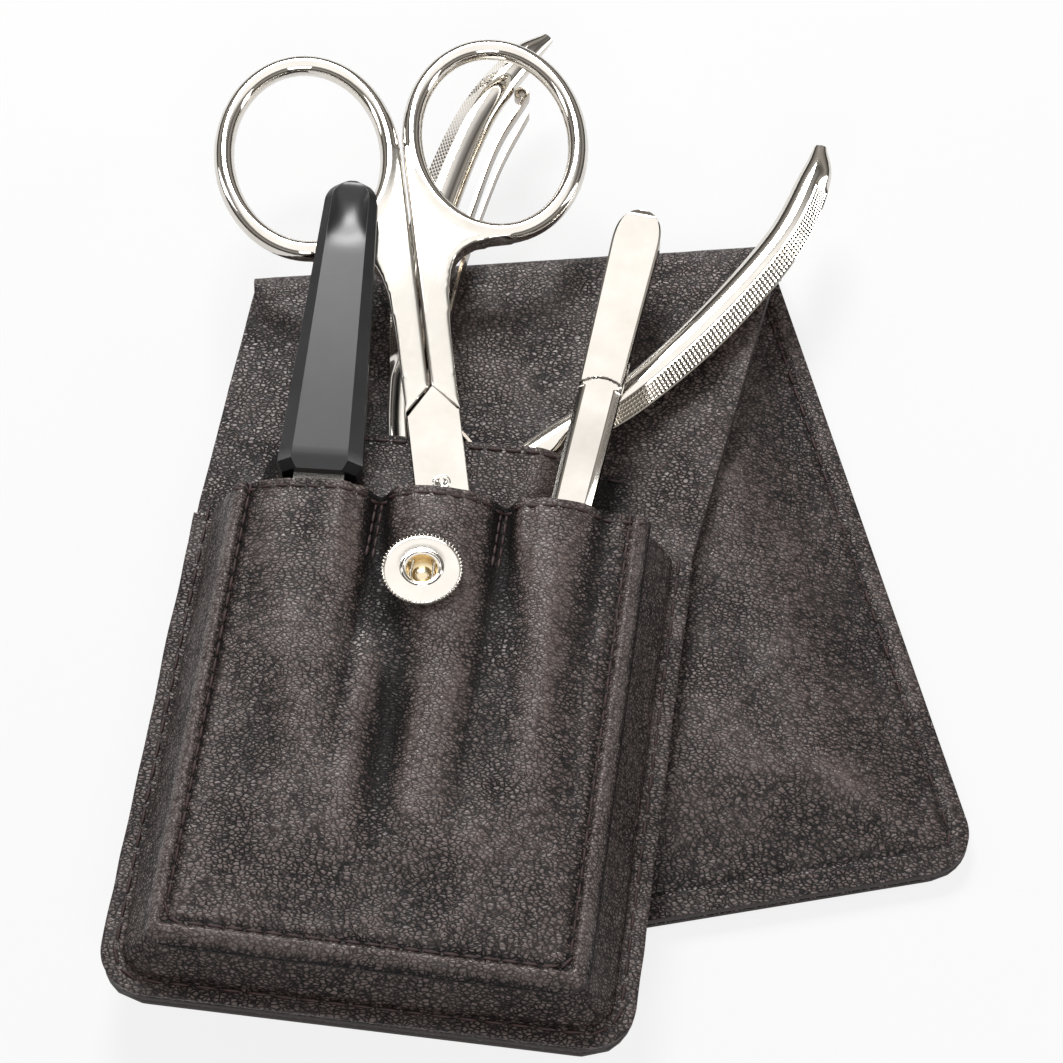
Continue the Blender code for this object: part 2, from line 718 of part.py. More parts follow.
def build_file(plastic, metal, collection):
    """The nail file: a tapered handle with a thumb dish, and its coated blade."""
    place = Vector((FACE_WIDTH / 2 * FILE_ACROSS_share, FILE_Y, FILE_LEVEL))
    carrier = frame_at("file_carrier", place, FILE_TURN, FILE_TILT, collection)
    wide = FILE_HANDLE_WIDTH / 2
    slim = FILE_HANDLE_TOP_WIDTH / 2
    round_y = FILE_HANDLE_LENGTH - slim
    mouth = wide * FILE_MOUTH_share
    outline = [(-mouth, 0.0), (mouth, 0.0), (wide, FILE_CHAMFER)]
    for step in range(9):
        angle = math.pi * step / 8
        outline.append((slim * math.cos(angle), round_y + slim * math.sin(angle)))
    outline.append((-wide, FILE_CHAMFER))

    def half_depth(y):
        share = y / FILE_HANDLE_LENGTH
        depth = FILE_HANDLE_THICKNESS
        return (depth + (FILE_HANDLE_TOP_THICKNESS - depth) * share) / 2

    handle = prism(
        "file_handle", outline, lambda y: -half_depth(y), half_depth, plastic, collection,
    )
    bevel(handle, FILE_CHAMFER)
    slot = prism("tang_slot", [
        (-FILE_BLADE_WIDTH / 2 - CLEAR, -OVERRUN),
        (FILE_BLADE_WIDTH / 2 + CLEAR, -OVERRUN),
        (FILE_BLADE_WIDTH / 2 + CLEAR, FILE_TANG + CLEAR),
        (-FILE_BLADE_WIDTH / 2 - CLEAR, FILE_TANG + CLEAR),
    ], lambda y: -FILE_BLADE_THICKNESS / 2 - CLEAR, lambda y: FILE_BLADE_THICKNESS / 2 + CLEAR,
        plastic, collection)
    dish = cylinder("thumb_dish", FILE_HANDLE_LENGTH / 4, -slim, slim, plastic, collection)
    dish.data.transform(Matrix.Rotation(math.pi / 2, 4, "Y"))
    dish.data.transform(Matrix.Translation((
        0.0,
        FILE_HANDLE_LENGTH - FILE_DISH_LENGTH / 2 - slim / 2,
        half_depth(FILE_HANDLE_LENGTH) + FILE_HANDLE_LENGTH / 4 - FILE_DISH_DEPTH,
    )))
    combine(handle, [slot, dish], "DIFFERENCE")
    handle.parent = carrier
    half = FILE_BLADE_WIDTH / 2
    blade = prism("file_blade", [
        (-half, FILE_TANG),
        (-half, -FILE_BLADE_LENGTH + 2 * FILE_BLADE_WIDTH),
        (0.0, -FILE_BLADE_LENGTH),
        (half, -FILE_BLADE_LENGTH + 2 * FILE_BLADE_WIDTH),
        (half, FILE_TANG),
    ], lambda y: -FILE_BLADE_THICKNESS / 2, lambda y: FILE_BLADE_THICKNESS / 2,
        metal, collection)
    blade.parent = carrier


def build_scissors(metal, collection):
    """Both halves of the scissors, lapped at the screw, and the screw."""
    carrier = frame_at("scissors_carrier", SCISSORS_PLACE, SCISSORS_TURN, 0.0, collection)
    gap = CLEAR / 2
    ring_x = gap + RING_WIRE_RADIUS + RING_HALF_WIDTH

    def shank_outline(side):
        points = [
            (gap, SHANK_APEX + gap),
            (gap, SHANK_END),
            (gap + 2 * RING_WIRE_RADIUS, SHANK_END),
            (SHANK_FLARE_WIDTH, SHANK_FLARE_END),
            (SHANK_WIDTH + gap, SHANK_FLARE_START),
            (SHANK_WIDTH, SHANK_SHOULDER + gap),
        ]
        return [(side * x, y) for x, y in points]

    def blade_outline(side):
        points = [
            (-gap, SHANK_APEX - 2 * gap),
            (-BLADE_HALF_WIDTH, SHANK_SHOULDER - 2 * gap),
            (-BLADE_HALF_WIDTH, -BLADE_LENGTH / 4),
            (0.0, -BLADE_LENGTH),
            (BLADE_TIP_WIDTH, -BLADE_LENGTH),
            (BLADE_HALF_WIDTH, -BLADE_LENGTH / 4),
            (BLADE_HALF_WIDTH, SHANK_SHOULDER + CLEAR),
            (SHANK_WIDTH - CLEAR, SHANK_SHOULDER + CLEAR),
            (2 * gap, SHANK_APEX + CLEAR),
        ]
        return [(side * x, y) for x, y in points]

    def blade_back(y):
        share = (SHANK_APEX - y) / (SHANK_APEX + BLADE_LENGTH)
        tip = BLADE_TIP_THICKNESS + gap
        return SHANK_HALF_THICKNESS + (tip - SHANK_HALF_THICKNESS) * share

    def half(name, side, level_low, level_high, hole):
        ring_route = []
        for step in range(32):
            angle = 2 * math.pi * step / 32
            ring_route.append((
                side * ring_x + RING_HALF_WIDTH * math.cos(angle),
                RING_CENTRE + RING_HALF_LENGTH * math.sin(angle),
                0.0,
            ))
        body = prism(
            name, shank_outline(side), lambda y: -SHANK_HALF_THICKNESS,
            lambda y: SHANK_HALF_THICKNESS, metal, collection,
        )
        ring = tube(
            name + "_ring", ring_route, [RING_WIRE_RADIUS] * 32, True, metal, collection,
        )
        blade = prism(
            name + "_blade", blade_outline(side), level_low, level_high, metal, collection,
        )
        combine(body, [ring, blade], "UNION")
        bore = cylinder(name + "_bore", hole, -OVERRUN, OVERRUN, metal, collection)
        combine(body, [bore], "DIFFERENCE")
        body.parent = carrier
        return body

    hole = SCISSORS_SCREW_RADIUS + CLEAR
    half("scissors_front_half", 1.0, lambda y: gap, blade_back, hole)
    half("scissors_rear_half", -1.0, lambda y: -blade_back(y), lambda y: -gap, hole)
    screw = cylinder(
        "scissors_screw", SCISSORS_SCREW_RADIUS, -SHANK_HALF_THICKNESS,
        SHANK_HALF_THICKNESS + SCISSORS_SCREW_HEAD, metal, collection,
    )
    screw.parent = carrier


def build_tweezers(metal, collection):
    """Two sprung arms, joined at the top, each one bowed strip of steel."""
    carrier = frame_at(
        "tweezers_carrier", TWEEZERS_PLACE, TWEEZERS_TURN, TWEEZERS_TILT, collection,
    )
    flat = CLEAR / 2

    def half_width(down):
        if down < TWEEZERS_SHOULDER_LENGTH:
            share = math.sqrt(max(1.0 - (1.0 - down / TWEEZERS_SHOULDER_LENGTH) ** 2, 0.0))
            wide = TWEEZERS_END_WIDTH + (TWEEZERS_HEAD_WIDTH - TWEEZERS_END_WIDTH) * share
        elif down < TWEEZERS_HEAD:
            share = (down - TWEEZERS_SHOULDER_LENGTH) / (TWEEZERS_HEAD - TWEEZERS_SHOULDER_LENGTH)
            wide = TWEEZERS_HEAD_WIDTH + (TWEEZERS_ARM_WIDTH - TWEEZERS_HEAD_WIDTH) * share
        else:
            share = (down - TWEEZERS_HEAD) / (TWEEZERS_LENGTH - TWEEZERS_HEAD)
            wide = TWEEZERS_ARM_WIDTH + (TWEEZERS_TIP_WIDTH - TWEEZERS_ARM_WIDTH) * share ** 2
        return wide / 2

    def spread(down):
        opened = smoothstep((down - TWEEZERS_HEAD) / (TWEEZERS_SPREAD_START - TWEEZERS_HEAD))
        closing = (down - TWEEZERS_SPREAD_START) / (TWEEZERS_LENGTH - TWEEZERS_SPREAD_START)
        widest = TWEEZERS_HALF_DEPTH - TWEEZERS_METAL
        tip = TWEEZERS_TIP_HALF_DEPTH - TWEEZERS_METAL
        head = flat + (TWEEZERS_HEAD_GAP / 2 - flat) * min(down / TWEEZERS_HEAD, 1.0)
        return head + (widest - head) * opened + (tip - widest) * smoothstep(closing)

    for name, side in (("tweezers_front_arm", 1.0), ("tweezers_rear_arm", -1.0)):
        def place(s, t, side=side):
            down = (1.0 - t) ** TWEEZERS_ROW_POWER * TWEEZERS_LENGTH
            return Vector((side * half_width(down) * (2 * s - 1), -down, side * spread(down)))

        arm = sheet(name, place, 2, 26, TWEEZERS_METAL, metal, collection)
        arm.parent = carrier


def build_nipper(metal, spring_metal, collection):
    """The nipper: two lapped levers, the pivot screw and the pair of leaf springs."""
    carrier = frame_at("nipper_carrier", NIPPER_PLACE, NIPPER_TURN, 0.0, collection)
    gap = CLEAR / 2

    def jaw_half_depth(y):
        share = -y / JAW_LENGTH
        return JOINT_HALF_THICKNESS + (JAW_TIP_HALF_THICKNESS - JOINT_HALF_THICKNESS) * share

    def lever(name, side, low, high):
        route = smooth_route([(side * w, u, 0.0) for u, w, r in HANDLE_STATIONS], 3)
        radii = [v.x for v in smooth_route([(r, 0.0, 0.0) for u, w, r in HANDLE_STATIONS], 3)]
        handle = tube(name, route, radii, False, metal, collection)
        handle.data.transform(Matrix.Diagonal((1.0, 1.0, HANDLE_FLATTEN_share, 1.0)))
        jaw = prism(name + "_jaw", [
            (-side * JAW_GAP, -JOINT_RADIUS / 2),
            (-side * JAW_TIP_GAP, -JAW_LENGTH),
            (-side * (JAW_TIP_GAP + JAW_TIP_WIDTH), -JAW_LENGTH),
            (-side * (JAW_GAP + JAW_WIDTH), -JOINT_RADIUS),
            (-side * (JAW_GAP + JAW_WIDTH), -JOINT_RADIUS / 2),
        ], lambda y: -jaw_half_depth(y), jaw_half_depth, metal, collection)
        free_low, free_high = (high, JOINT_OVERRUN) if side > 0 else (-JOINT_OVERRUN, low)
        for piece in (handle, jaw):
            clearing = cylinder(
                name + "_clearing", JOINT_RADIUS + CLEAR, free_low, free_high, metal, collection,
            )
            combine(piece, [clearing], "DIFFERENCE")
        disc = cylinder(name + "_disc", JOINT_RADIUS, low, high, metal, collection)
        combine(handle, [jaw, disc], "UNION")
        bore = cylinder(
            name + "_bore", NIPPER_SCREW_RADIUS + CLEAR, -JOINT_OVERRUN, JOINT_OVERRUN,
            metal, collection,
        )
        combine(handle, [bore], "DIFFERENCE")
        handle.parent = carrier

    lever("nipper_right_lever", 1.0, -JOINT_HALF_THICKNESS, -gap)
    lever("nipper_left_lever", -1.0, gap, JOINT_HALF_THICKNESS)
    screw = cylinder(
        "nipper_pivot_screw", NIPPER_SCREW_RADIUS, -JOINT_HALF_THICKNESS,
        JOINT_HALF_THICKNESS, metal, collection,
    )
    screw.parent = carrier

    for name, points in (
        ("nipper_right_spring", RIGHT_SPRING_ROUTE), ("nipper_left_spring", LEFT_SPRING_ROUTE),
    ):
        route = smooth_route([(w, u, 0.0) for u, w in points], 4)

        def place(s, t, route=route):
            spot = route[round(s * (len(route) - 1))]
            return Vector((spot.x, spot.y, SPRING_WIDTH * (t - 0.5)))

        leaf = sheet(name, place, len(route) - 1, 1, SPRING_THICKNESS, spring_metal, collection)
        leaf.modifiers["Thickness"].offset = 0.0
        leaf.parent = carrier
        lean = (route[2] - route[0]).normalized()
        away = Vector((-lean.y, lean.x, 0.0))
        if away.x * route[1].x > 0:
            away.negate()
        rivet = cylinder(name + "_rivet", RIVET_RADIUS, 0.0, RIVET_LENGTH, metal, collection)
        rivet.data.transform(away.to_track_quat("Z", "Y").to_matrix().to_4x4())
        seat = route[2] + away * (SPRING_THICKNESS / 2 + CLEAR)
        rivet.data.transform(Matrix.Translation(seat))
        rivet.parent = carrier


def hang_flap(collection):
    """Parent the flap's pieces to an empty on the fold's hinge line."""
    middle = HINGE_LEFT.lerp(HINGE_RIGHT, 0.5)
    carrier = frame_at(
        "flap_carrier", (middle.x, middle.y, FOLD_RADIUS), 0.0, 0.0, collection,
    )
    for made in list(collection.objects):
        if made.name in ("flap_outer_leather", "flap_lining", "snap_stud", "snap_stud_base"):
            made.parent = carrier
            made.matrix_parent_inverse = Matrix.Translation(carrier.location).inverted()


def main():
    """Clear the scene and build every piece of the set."""
    for old in list(bpy.data.objects):
        bpy.data.objects.remove(old)
    case = bpy.data.collections.new("manicure_set_case")
    bpy.context.scene.collection.children.link(case)
    leather = material("dark_leather", (0.022, 0.014, 0.013), 0.42, 0.0)
    lining = material("leather_lining", (0.020, 0.014, 0.013), 0.5, 0.0)
    nickel = material("polished_nickel", (0.66, 0.63, 0.58), 0.12, 1.0)
    brass = material("pale_brass", (0.62, 0.52, 0.36), 0.25, 1.0)
    plastic = material("black_plastic", (0.012, 0.012, 0.013), 0.3, 0.0)
    grit = material("coated_steel", (0.42, 0.41, 0.40), 0.45, 1.0)
    spring_steel = material("spring_steel", (0.52, 0.50, 0.47), 0.2, 1.0)
    build_back(leather, lining, case)
    flap_lining = build_flap(leather, lining, case)
    build_gusset(leather, case)
    build_inner_panel(lining, case)
    build_pocket(leather, lining, nickel, brass, case)
    build_stud(flap_lining, nickel, brass, case)
    build_file(plastic, grit, case)
    build_scissors(nickel, case)
    build_tweezers(nickel, case)
    build_nipper(nickel, spring_steel, case)
    hang_flap(case)
    for made in case.objects:
        if made.parent is None:
            made.location.y -= REST_POINT_Y


main()
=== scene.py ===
"""Finish of a manicure set: a leather snap case with file, scissors, tweezers and nipper."""

import logging
import math
from dataclasses import dataclass, field
from enum import Enum
from functools import cached_property
from typing import Callable, Sequence

import bmesh
import bpy
from mathutils import Matrix, Vector, noise


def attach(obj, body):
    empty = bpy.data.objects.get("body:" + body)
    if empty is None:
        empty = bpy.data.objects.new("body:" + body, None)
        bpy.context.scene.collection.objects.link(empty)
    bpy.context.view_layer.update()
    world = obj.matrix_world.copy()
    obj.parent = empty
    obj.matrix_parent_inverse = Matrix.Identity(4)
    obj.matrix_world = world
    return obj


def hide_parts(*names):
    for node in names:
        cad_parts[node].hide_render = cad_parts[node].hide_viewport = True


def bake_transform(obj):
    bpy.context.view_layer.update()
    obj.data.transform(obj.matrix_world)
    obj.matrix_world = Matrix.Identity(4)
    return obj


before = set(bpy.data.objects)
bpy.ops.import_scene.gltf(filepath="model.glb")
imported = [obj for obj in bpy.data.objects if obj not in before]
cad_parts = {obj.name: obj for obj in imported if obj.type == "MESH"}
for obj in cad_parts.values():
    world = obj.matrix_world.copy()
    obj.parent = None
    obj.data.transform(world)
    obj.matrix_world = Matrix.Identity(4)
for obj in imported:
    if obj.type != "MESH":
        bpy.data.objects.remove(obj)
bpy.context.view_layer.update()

LOG = logging.getLogger("manicure_set")
# The frame's origin lies this far up the case from the scissors' pivot line
ORIGIN_Y = 0.037173
TINY = 0.00001

Place = Callable[[float, float], Vector]
Colour = tuple[float, float, float]


class Grain(Enum):
    """How coarse a leather's pebble is."""

    OUTER = 1.0
    LINING = 1.15


def smoothstep(value: float) -> float:
    """Ease from 0 to 1.

    Args:
        value: Any number; it is held between 0 and 1.

    Returns:
        The eased share.
    """
    held = min(max(value, 0.0), 1.0)
    return held * held * (3.0 - 2.0 * held)


def bell(distance: float, width: float) -> float:
    """A soft bump of height 1 and the given half width."""
    return math.exp(-((distance / width) ** 2))


def wave(x: float, y: float, size: float, seed: float) -> float:
    """Smooth noise between about -1 and 1.

    Args:
        x: Place across, in metres.
        y: Place along, in metres.
        size: Size of one swell, in metres.
        seed: Picks the pattern.

    Returns:
        The noise at the place.
    """
    return noise.noise(Vector((x / size, y / size, seed)))


def blurred(row: Sequence[float], reach: int) -> list[float]:
    """The running mean of a row over a reach to either side."""
    padded = [row[0]] * reach + list(row) + [row[-1]] * reach
    total = sum(padded[:2 * reach])
    means = []
    for first, last in zip(padded, padded[2 * reach:]):
        total += last
        means.append(total / (2 * reach + 1))
        total -= first
    return means


class Number:
    """A number on a shader socket, with arithmetic that adds Math nodes."""

    def __init__(self, tree: "ShaderTree", socket: bpy.types.NodeSocket) -> None:
        """Keep the socket and the tree that it belongs to."""
        self.tree = tree
        self.socket = socket

    def _with(self, operation: str, first: object, second: object) -> "Number":
        """Add one Math node over two values."""
        made = self.tree.node("ShaderNodeMath", {"operation": operation}, {0: first, 1: second})
        return Number(self.tree, made.outputs[0])

    def __add__(self, other: object) -> "Number":
        """Sum."""
        return self._with("ADD", self, other)

    __radd__ = __add__

    def __sub__(self, other: object) -> "Number":
        """Difference."""
        return self._with("SUBTRACT", self, other)

    def __rsub__(self, other: object) -> "Number":
        """Difference, from the other value."""
        return self._with("SUBTRACT", other, self)

    def __mul__(self, other: object) -> "Number":
        """Product."""
        return self._with("MULTIPLY", self, other)

    __rmul__ = __mul__

    def __truediv__(self, other: object) -> "Number":
        """Quotient."""
        return self._with("DIVIDE", self, other)

    def __pow__(self, other: object) -> "Number":
        """Power."""
        return self._with("POWER", self, other)

    def held(self) -> "Number":
        """The value held between 0 and 1."""
        made = self.tree.node("ShaderNodeClamp", {}, {0: self})
        return Number(self.tree, made.outputs[0])


class ShaderTree:
    """One material and the calls that wire it."""

    def __init__(self, name: str) -> None:
        """Start a material with a Principled shader."""
        self.material = bpy.data.materials.new(name)
        self.material.use_nodes = True
        self.nodes = self.material.node_tree.nodes
        self.links = self.material.node_tree.links
        self.shader = self.nodes["Principled BSDF"]
        self.place = self.nodes.new("ShaderNodeTexCoord").outputs["Object"]

    def node(self, kind: str, settings: dict, sockets: dict) -> bpy.types.Node:
        """Add a node.

        Args:
            kind: The node's type.
            settings: Its properties, set before its sockets.
            sockets: Values, links or Numbers by socket name or number.

        Returns:
            The node.
        """
        made = self.nodes.new(kind)
        for name, value in settings.items():
            if name == "stops":
                self._set_stops(made, value)
            else:
                setattr(made, name, value)
        for name, value in sockets.items():
            self.feed(made.inputs[name], value)
        return made

    def _set_stops(self, ramp: bpy.types.Node, stops: Sequence[tuple[float, Colour]]) -> None:
        """Give a colour ramp its stops."""
        elements = ramp.color_ramp.elements
        while len(elements) < len(stops):
            elements.new(0.5)
        for element, (position, colour) in zip(elements, stops):
            element.position = position
            element.color = (*colour, 1.0)

    def feed(self, socket: bpy.types.NodeSocket, value: object) -> None:
        """Set a socket's value, or link it."""
        if isinstance(value, Number):
            self.links.new(value.socket, socket)
        elif isinstance(value, bpy.types.NodeSocket):
            self.links.new(value, socket)
        else:
            socket.default_value = value

    def mapped(self, scale: Sequence[float], turn: float = 0.0) -> bpy.types.NodeSocket:
        """The object coordinates, scaled and turned about Z."""
        made = self.node(
            "ShaderNodeMapping", {},
            {"Vector": self.place, "Scale": scale, "Rotation": (0, 0, turn)},
        )
        return made.outputs[0]

    def noise(self, vector: bpy.types.NodeSocket, scale: float, detail: float) -> Number:
        """Fractal noise at a scale per metre."""
        made = self.node(
            "ShaderNodeTexNoise", {}, {"Vector": vector, "Scale": scale, "Detail": detail},
        )
        return Number(self, made.outputs[0])

    def cells(self, vector: bpy.types.NodeSocket, scale: float, feature: str) -> Number:
        """Voronoi distance at a scale per metre."""
        made = self.node(
            "ShaderNodeTexVoronoi", {"feature": feature}, {"Vector": vector, "Scale": scale},
        )
        return Number(self, made.outputs["Distance"])

    def attribute(self, name: str) -> Number:
        """A number stored on the mesh, nought where it has none of that name."""
        made = self.node("ShaderNodeAttribute", {"attribute_name": name}, {})
        return Number(self, made.outputs["Fac"])

    def bent(
        self, amount: float, scale: float, stretch: Sequence[float] = (1.0, 1.0, 1.0),
    ) -> bpy.types.NodeSocket:
        """The object coordinates, stretched and pushed about by noise."""
        push = self.node(
            "ShaderNodeTexNoise", {}, {"Vector": self.place, "Scale": scale, "Detail": 2.0},
        )
        shift = self.node(
            "ShaderNodeVectorMath", {"operation": "MULTIPLY_ADD"},
            {0: push.outputs[1], 1: (amount, amount, amount), 2: self.mapped(stretch)},
        )
        return shift.outputs[0]

    def ramp(self, value: Number, stops: Sequence[tuple[float, Colour]]) -> bpy.types.NodeSocket:
        """A colour ramp over a number."""
        return self.node("ShaderNodeValToRGB", {"stops": stops}, {0: value}).outputs[0]

    def bump(
        self, height: Number, distance: float, strength: float,
        under: bpy.types.NodeSocket | None = None,
    ) -> bpy.types.NodeSocket:
        """A Bump node over a height, on top of another one where given."""
        sockets = {"Height": height, "Distance": distance, "Strength": strength}
        if under is not None:
            sockets["Normal"] = under
        return self.node("ShaderNodeBump", {}, sockets).outputs[0]

    def finish(self, **sockets: object) -> bpy.types.Material:
        """Feed the shader's sockets and hand the material over."""
        for name, value in sockets.items():
            self.feed(self.shader.inputs[name.replace("_", " ")], value)
        return self.material


@dataclass(frozen=True)
class PebbleLeather:
    """Semi-gloss leather with a pebbled grain, creased and a little mottled, with painted shade in
    its hollows and folds and a painted highlight on its crests.
    """

    name: str
    hollow: Colour = (0.0018, 0.0009, 0.0008)
    middle: Colour = (0.0290, 0.0180, 0.0154)
    crest: Colour = (0.1240, 0.0920, 0.0830)
    grain: Grain = Grain.OUTER
    wrinkles_per_metre: float = 1600.0
    pebbles_per_metre: float = 560.0
    roughness: float = 0.46
    sheen: float = 0.20
    gloss: float = 0.62
    gloss_roughness: float = 0.37

    def build(self) -> bpy.types.Material:
        """Make the material.

        Returns:
            The leather material.
        """
        tree = ShaderTree(self.name)
        bent = tree.bent(0.0013, 240.0)
        tight = tree.bent(0.00060, 900.0, (0.88, 1.35, 1.2))
        size = self.grain.value
        # sunken is the relief below the surroundings. It paints shade into hollows and folds and,
        # where negative, a highlight onto crests. It also thins the coat and fines the wrinkles
        # there.
        sunken = tree.attribute("sunken")
        pebble = (tree.cells(bent, self.pebbles_per_metre * size, "DISTANCE_TO_EDGE") * 7.0).held()
        wrinkle = tree.cells(tight, self.wrinkles_per_metre * size, "DISTANCE_TO_EDGE")
        wrinkle = (wrinkle * 4.0).held()
        swell = tree.noise(tree.place, 150.0, 3.0)
        broad = tree.noise(tree.place, 42.0, 3.0)
        fine = ((swell - 0.34) * 3.0 + sunken * 0.6).held()
        shallow = wrinkle + (wrinkle - 1.0) * (fine * 0.4 - 0.4)
        height = (pebble * 0.36 + 0.64) * shallow
        low = tree.bump(broad, 0.0010, 0.45)
        normal = tree.bump(height, 0.00016, 0.50, low)
        # The colour takes grain height and mottle, less sunken: painted shade in hollows and folds,
        # painted highlight on crests.
        shade = (height * 0.96 + (broad - 0.5) * 0.22 + (swell - 0.5) * 0.10 - sunken * 0.60).held()
        colour = tree.ramp(
            shade, ((0.22, self.hollow), (0.55, self.middle), (0.94, self.crest)),
        )
        rough = (self.roughness + (0.75 - height) * 0.35 + (swell - 0.5) * 0.16).held()
        return tree.finish(
            Base_Color=colour, Roughness=rough, Normal=normal, Specular_IOR_Level=self.sheen,
            Coat_Weight=(height * self.gloss - sunken * 0.50).held(),
            Coat_Roughness=self.gloss_roughness, Coat_Normal=normal,
        )


@dataclass(frozen=True)
class CutEdge:
    """The dyed, burnished edge and the smooth thread colour of the case."""

    name: str
    dark: Colour = (0.010, 0.0058, 0.0052)
    light: Colour = (0.030, 0.018, 0.016)
    strands_per_metre: float = 2600.0
    roughness: float = 0.55

    def build(self) -> bpy.types.Material:
        """Make the material.

        Returns:
            The edge or thread material.
        """
        tree = ShaderTree(self.name)
        strand = tree.noise(tree.place, self.strands_per_metre, 2.0)
        colour = tree.ramp(strand, ((0.3, self.dark), (0.75, self.light)))
        normal = tree.bump(strand, 0.00008, 0.5)
        return tree.finish(Base_Color=colour, Roughness=self.roughness, Normal=normal)


@dataclass(frozen=True)
class PolishedMetal:
    """Bright plated metal with a slight polish grain and faint wear."""

    name: str
    bright: Colour = (0.77, 0.74, 0.69)
    worn: Colour = (0.66, 0.62, 0.56)
    roughness: float = 0.075
    grain_turn: float = 0.0
    grain: float = 0.3

    def build(self) -> bpy.types.Material:
        """Make the material.

        Returns:
            The metal material.
        """
        tree = ShaderTree(self.name)
        lines = tree.noise(tree.mapped((4200.0, 160.0, 4200.0), self.grain_turn), 1.0, 2.0)
        wear = tree.noise(tree.place, 240.0, 4.0)
        colour = tree.ramp(wear, ((0.35, self.bright), (0.85, self.worn)))
        rough = (self.roughness + (lines - 0.5) * 0.05 + (wear - 0.5) * 0.06).held()
        normal = tree.bump(lines, 0.000004, self.grain)
        return tree.finish(Base_Color=colour, Metallic=1.0, Roughness=rough, Normal=normal)


@dataclass(frozen=True)
class SatinPlastic:
    """Black moulded plastic with a very fine texture."""

    name: str
    dark: Colour = (0.0075, 0.0075, 0.0082)
    light: Colour = (0.0150, 0.0150, 0.0160)
    roughness: float = 0.33
    sheen: float = 0.52

    def build(self) -> bpy.types.Material:
        """Make the material.

        Returns:
            The plastic material.
        """
        tree = ShaderTree(self.name)
        speck = tree.noise(tree.place, 5200.0, 2.0)
        cloud = tree.noise(tree.place, 160.0, 3.0)
        colour = tree.ramp(cloud, ((0.3, self.dark), (0.8, self.light)))
        rough = (self.roughness + (cloud - 0.5) * 0.08).held()
        normal = tree.bump(speck, 0.00001, 0.35)
        return tree.finish(
            Base_Color=colour, Roughness=rough, Normal=normal, Specular_IOR_Level=self.sheen,
        )


@dataclass(frozen=True)
class GritCoat:
    """The file blade's fine grit."""

    name: str
    dark: Colour = (0.20, 0.19, 0.18)
    light: Colour = (0.52, 0.50, 0.47)

    def build(self) -> bpy.types.Material:
        """Make the material.

        Returns:
            The grit material.
        """
        tree = ShaderTree(self.name)
        grit = tree.cells(tree.place, 5200.0, "F1")
        colour = tree.ramp(grit, ((0.1, self.light), (0.8, self.dark)))
        normal = tree.bump(1.0 - grit, 0.00006, 0.8)
        return tree.finish(Base_Color=colour, Metallic=0.8, Roughness=0.45, Normal=normal)


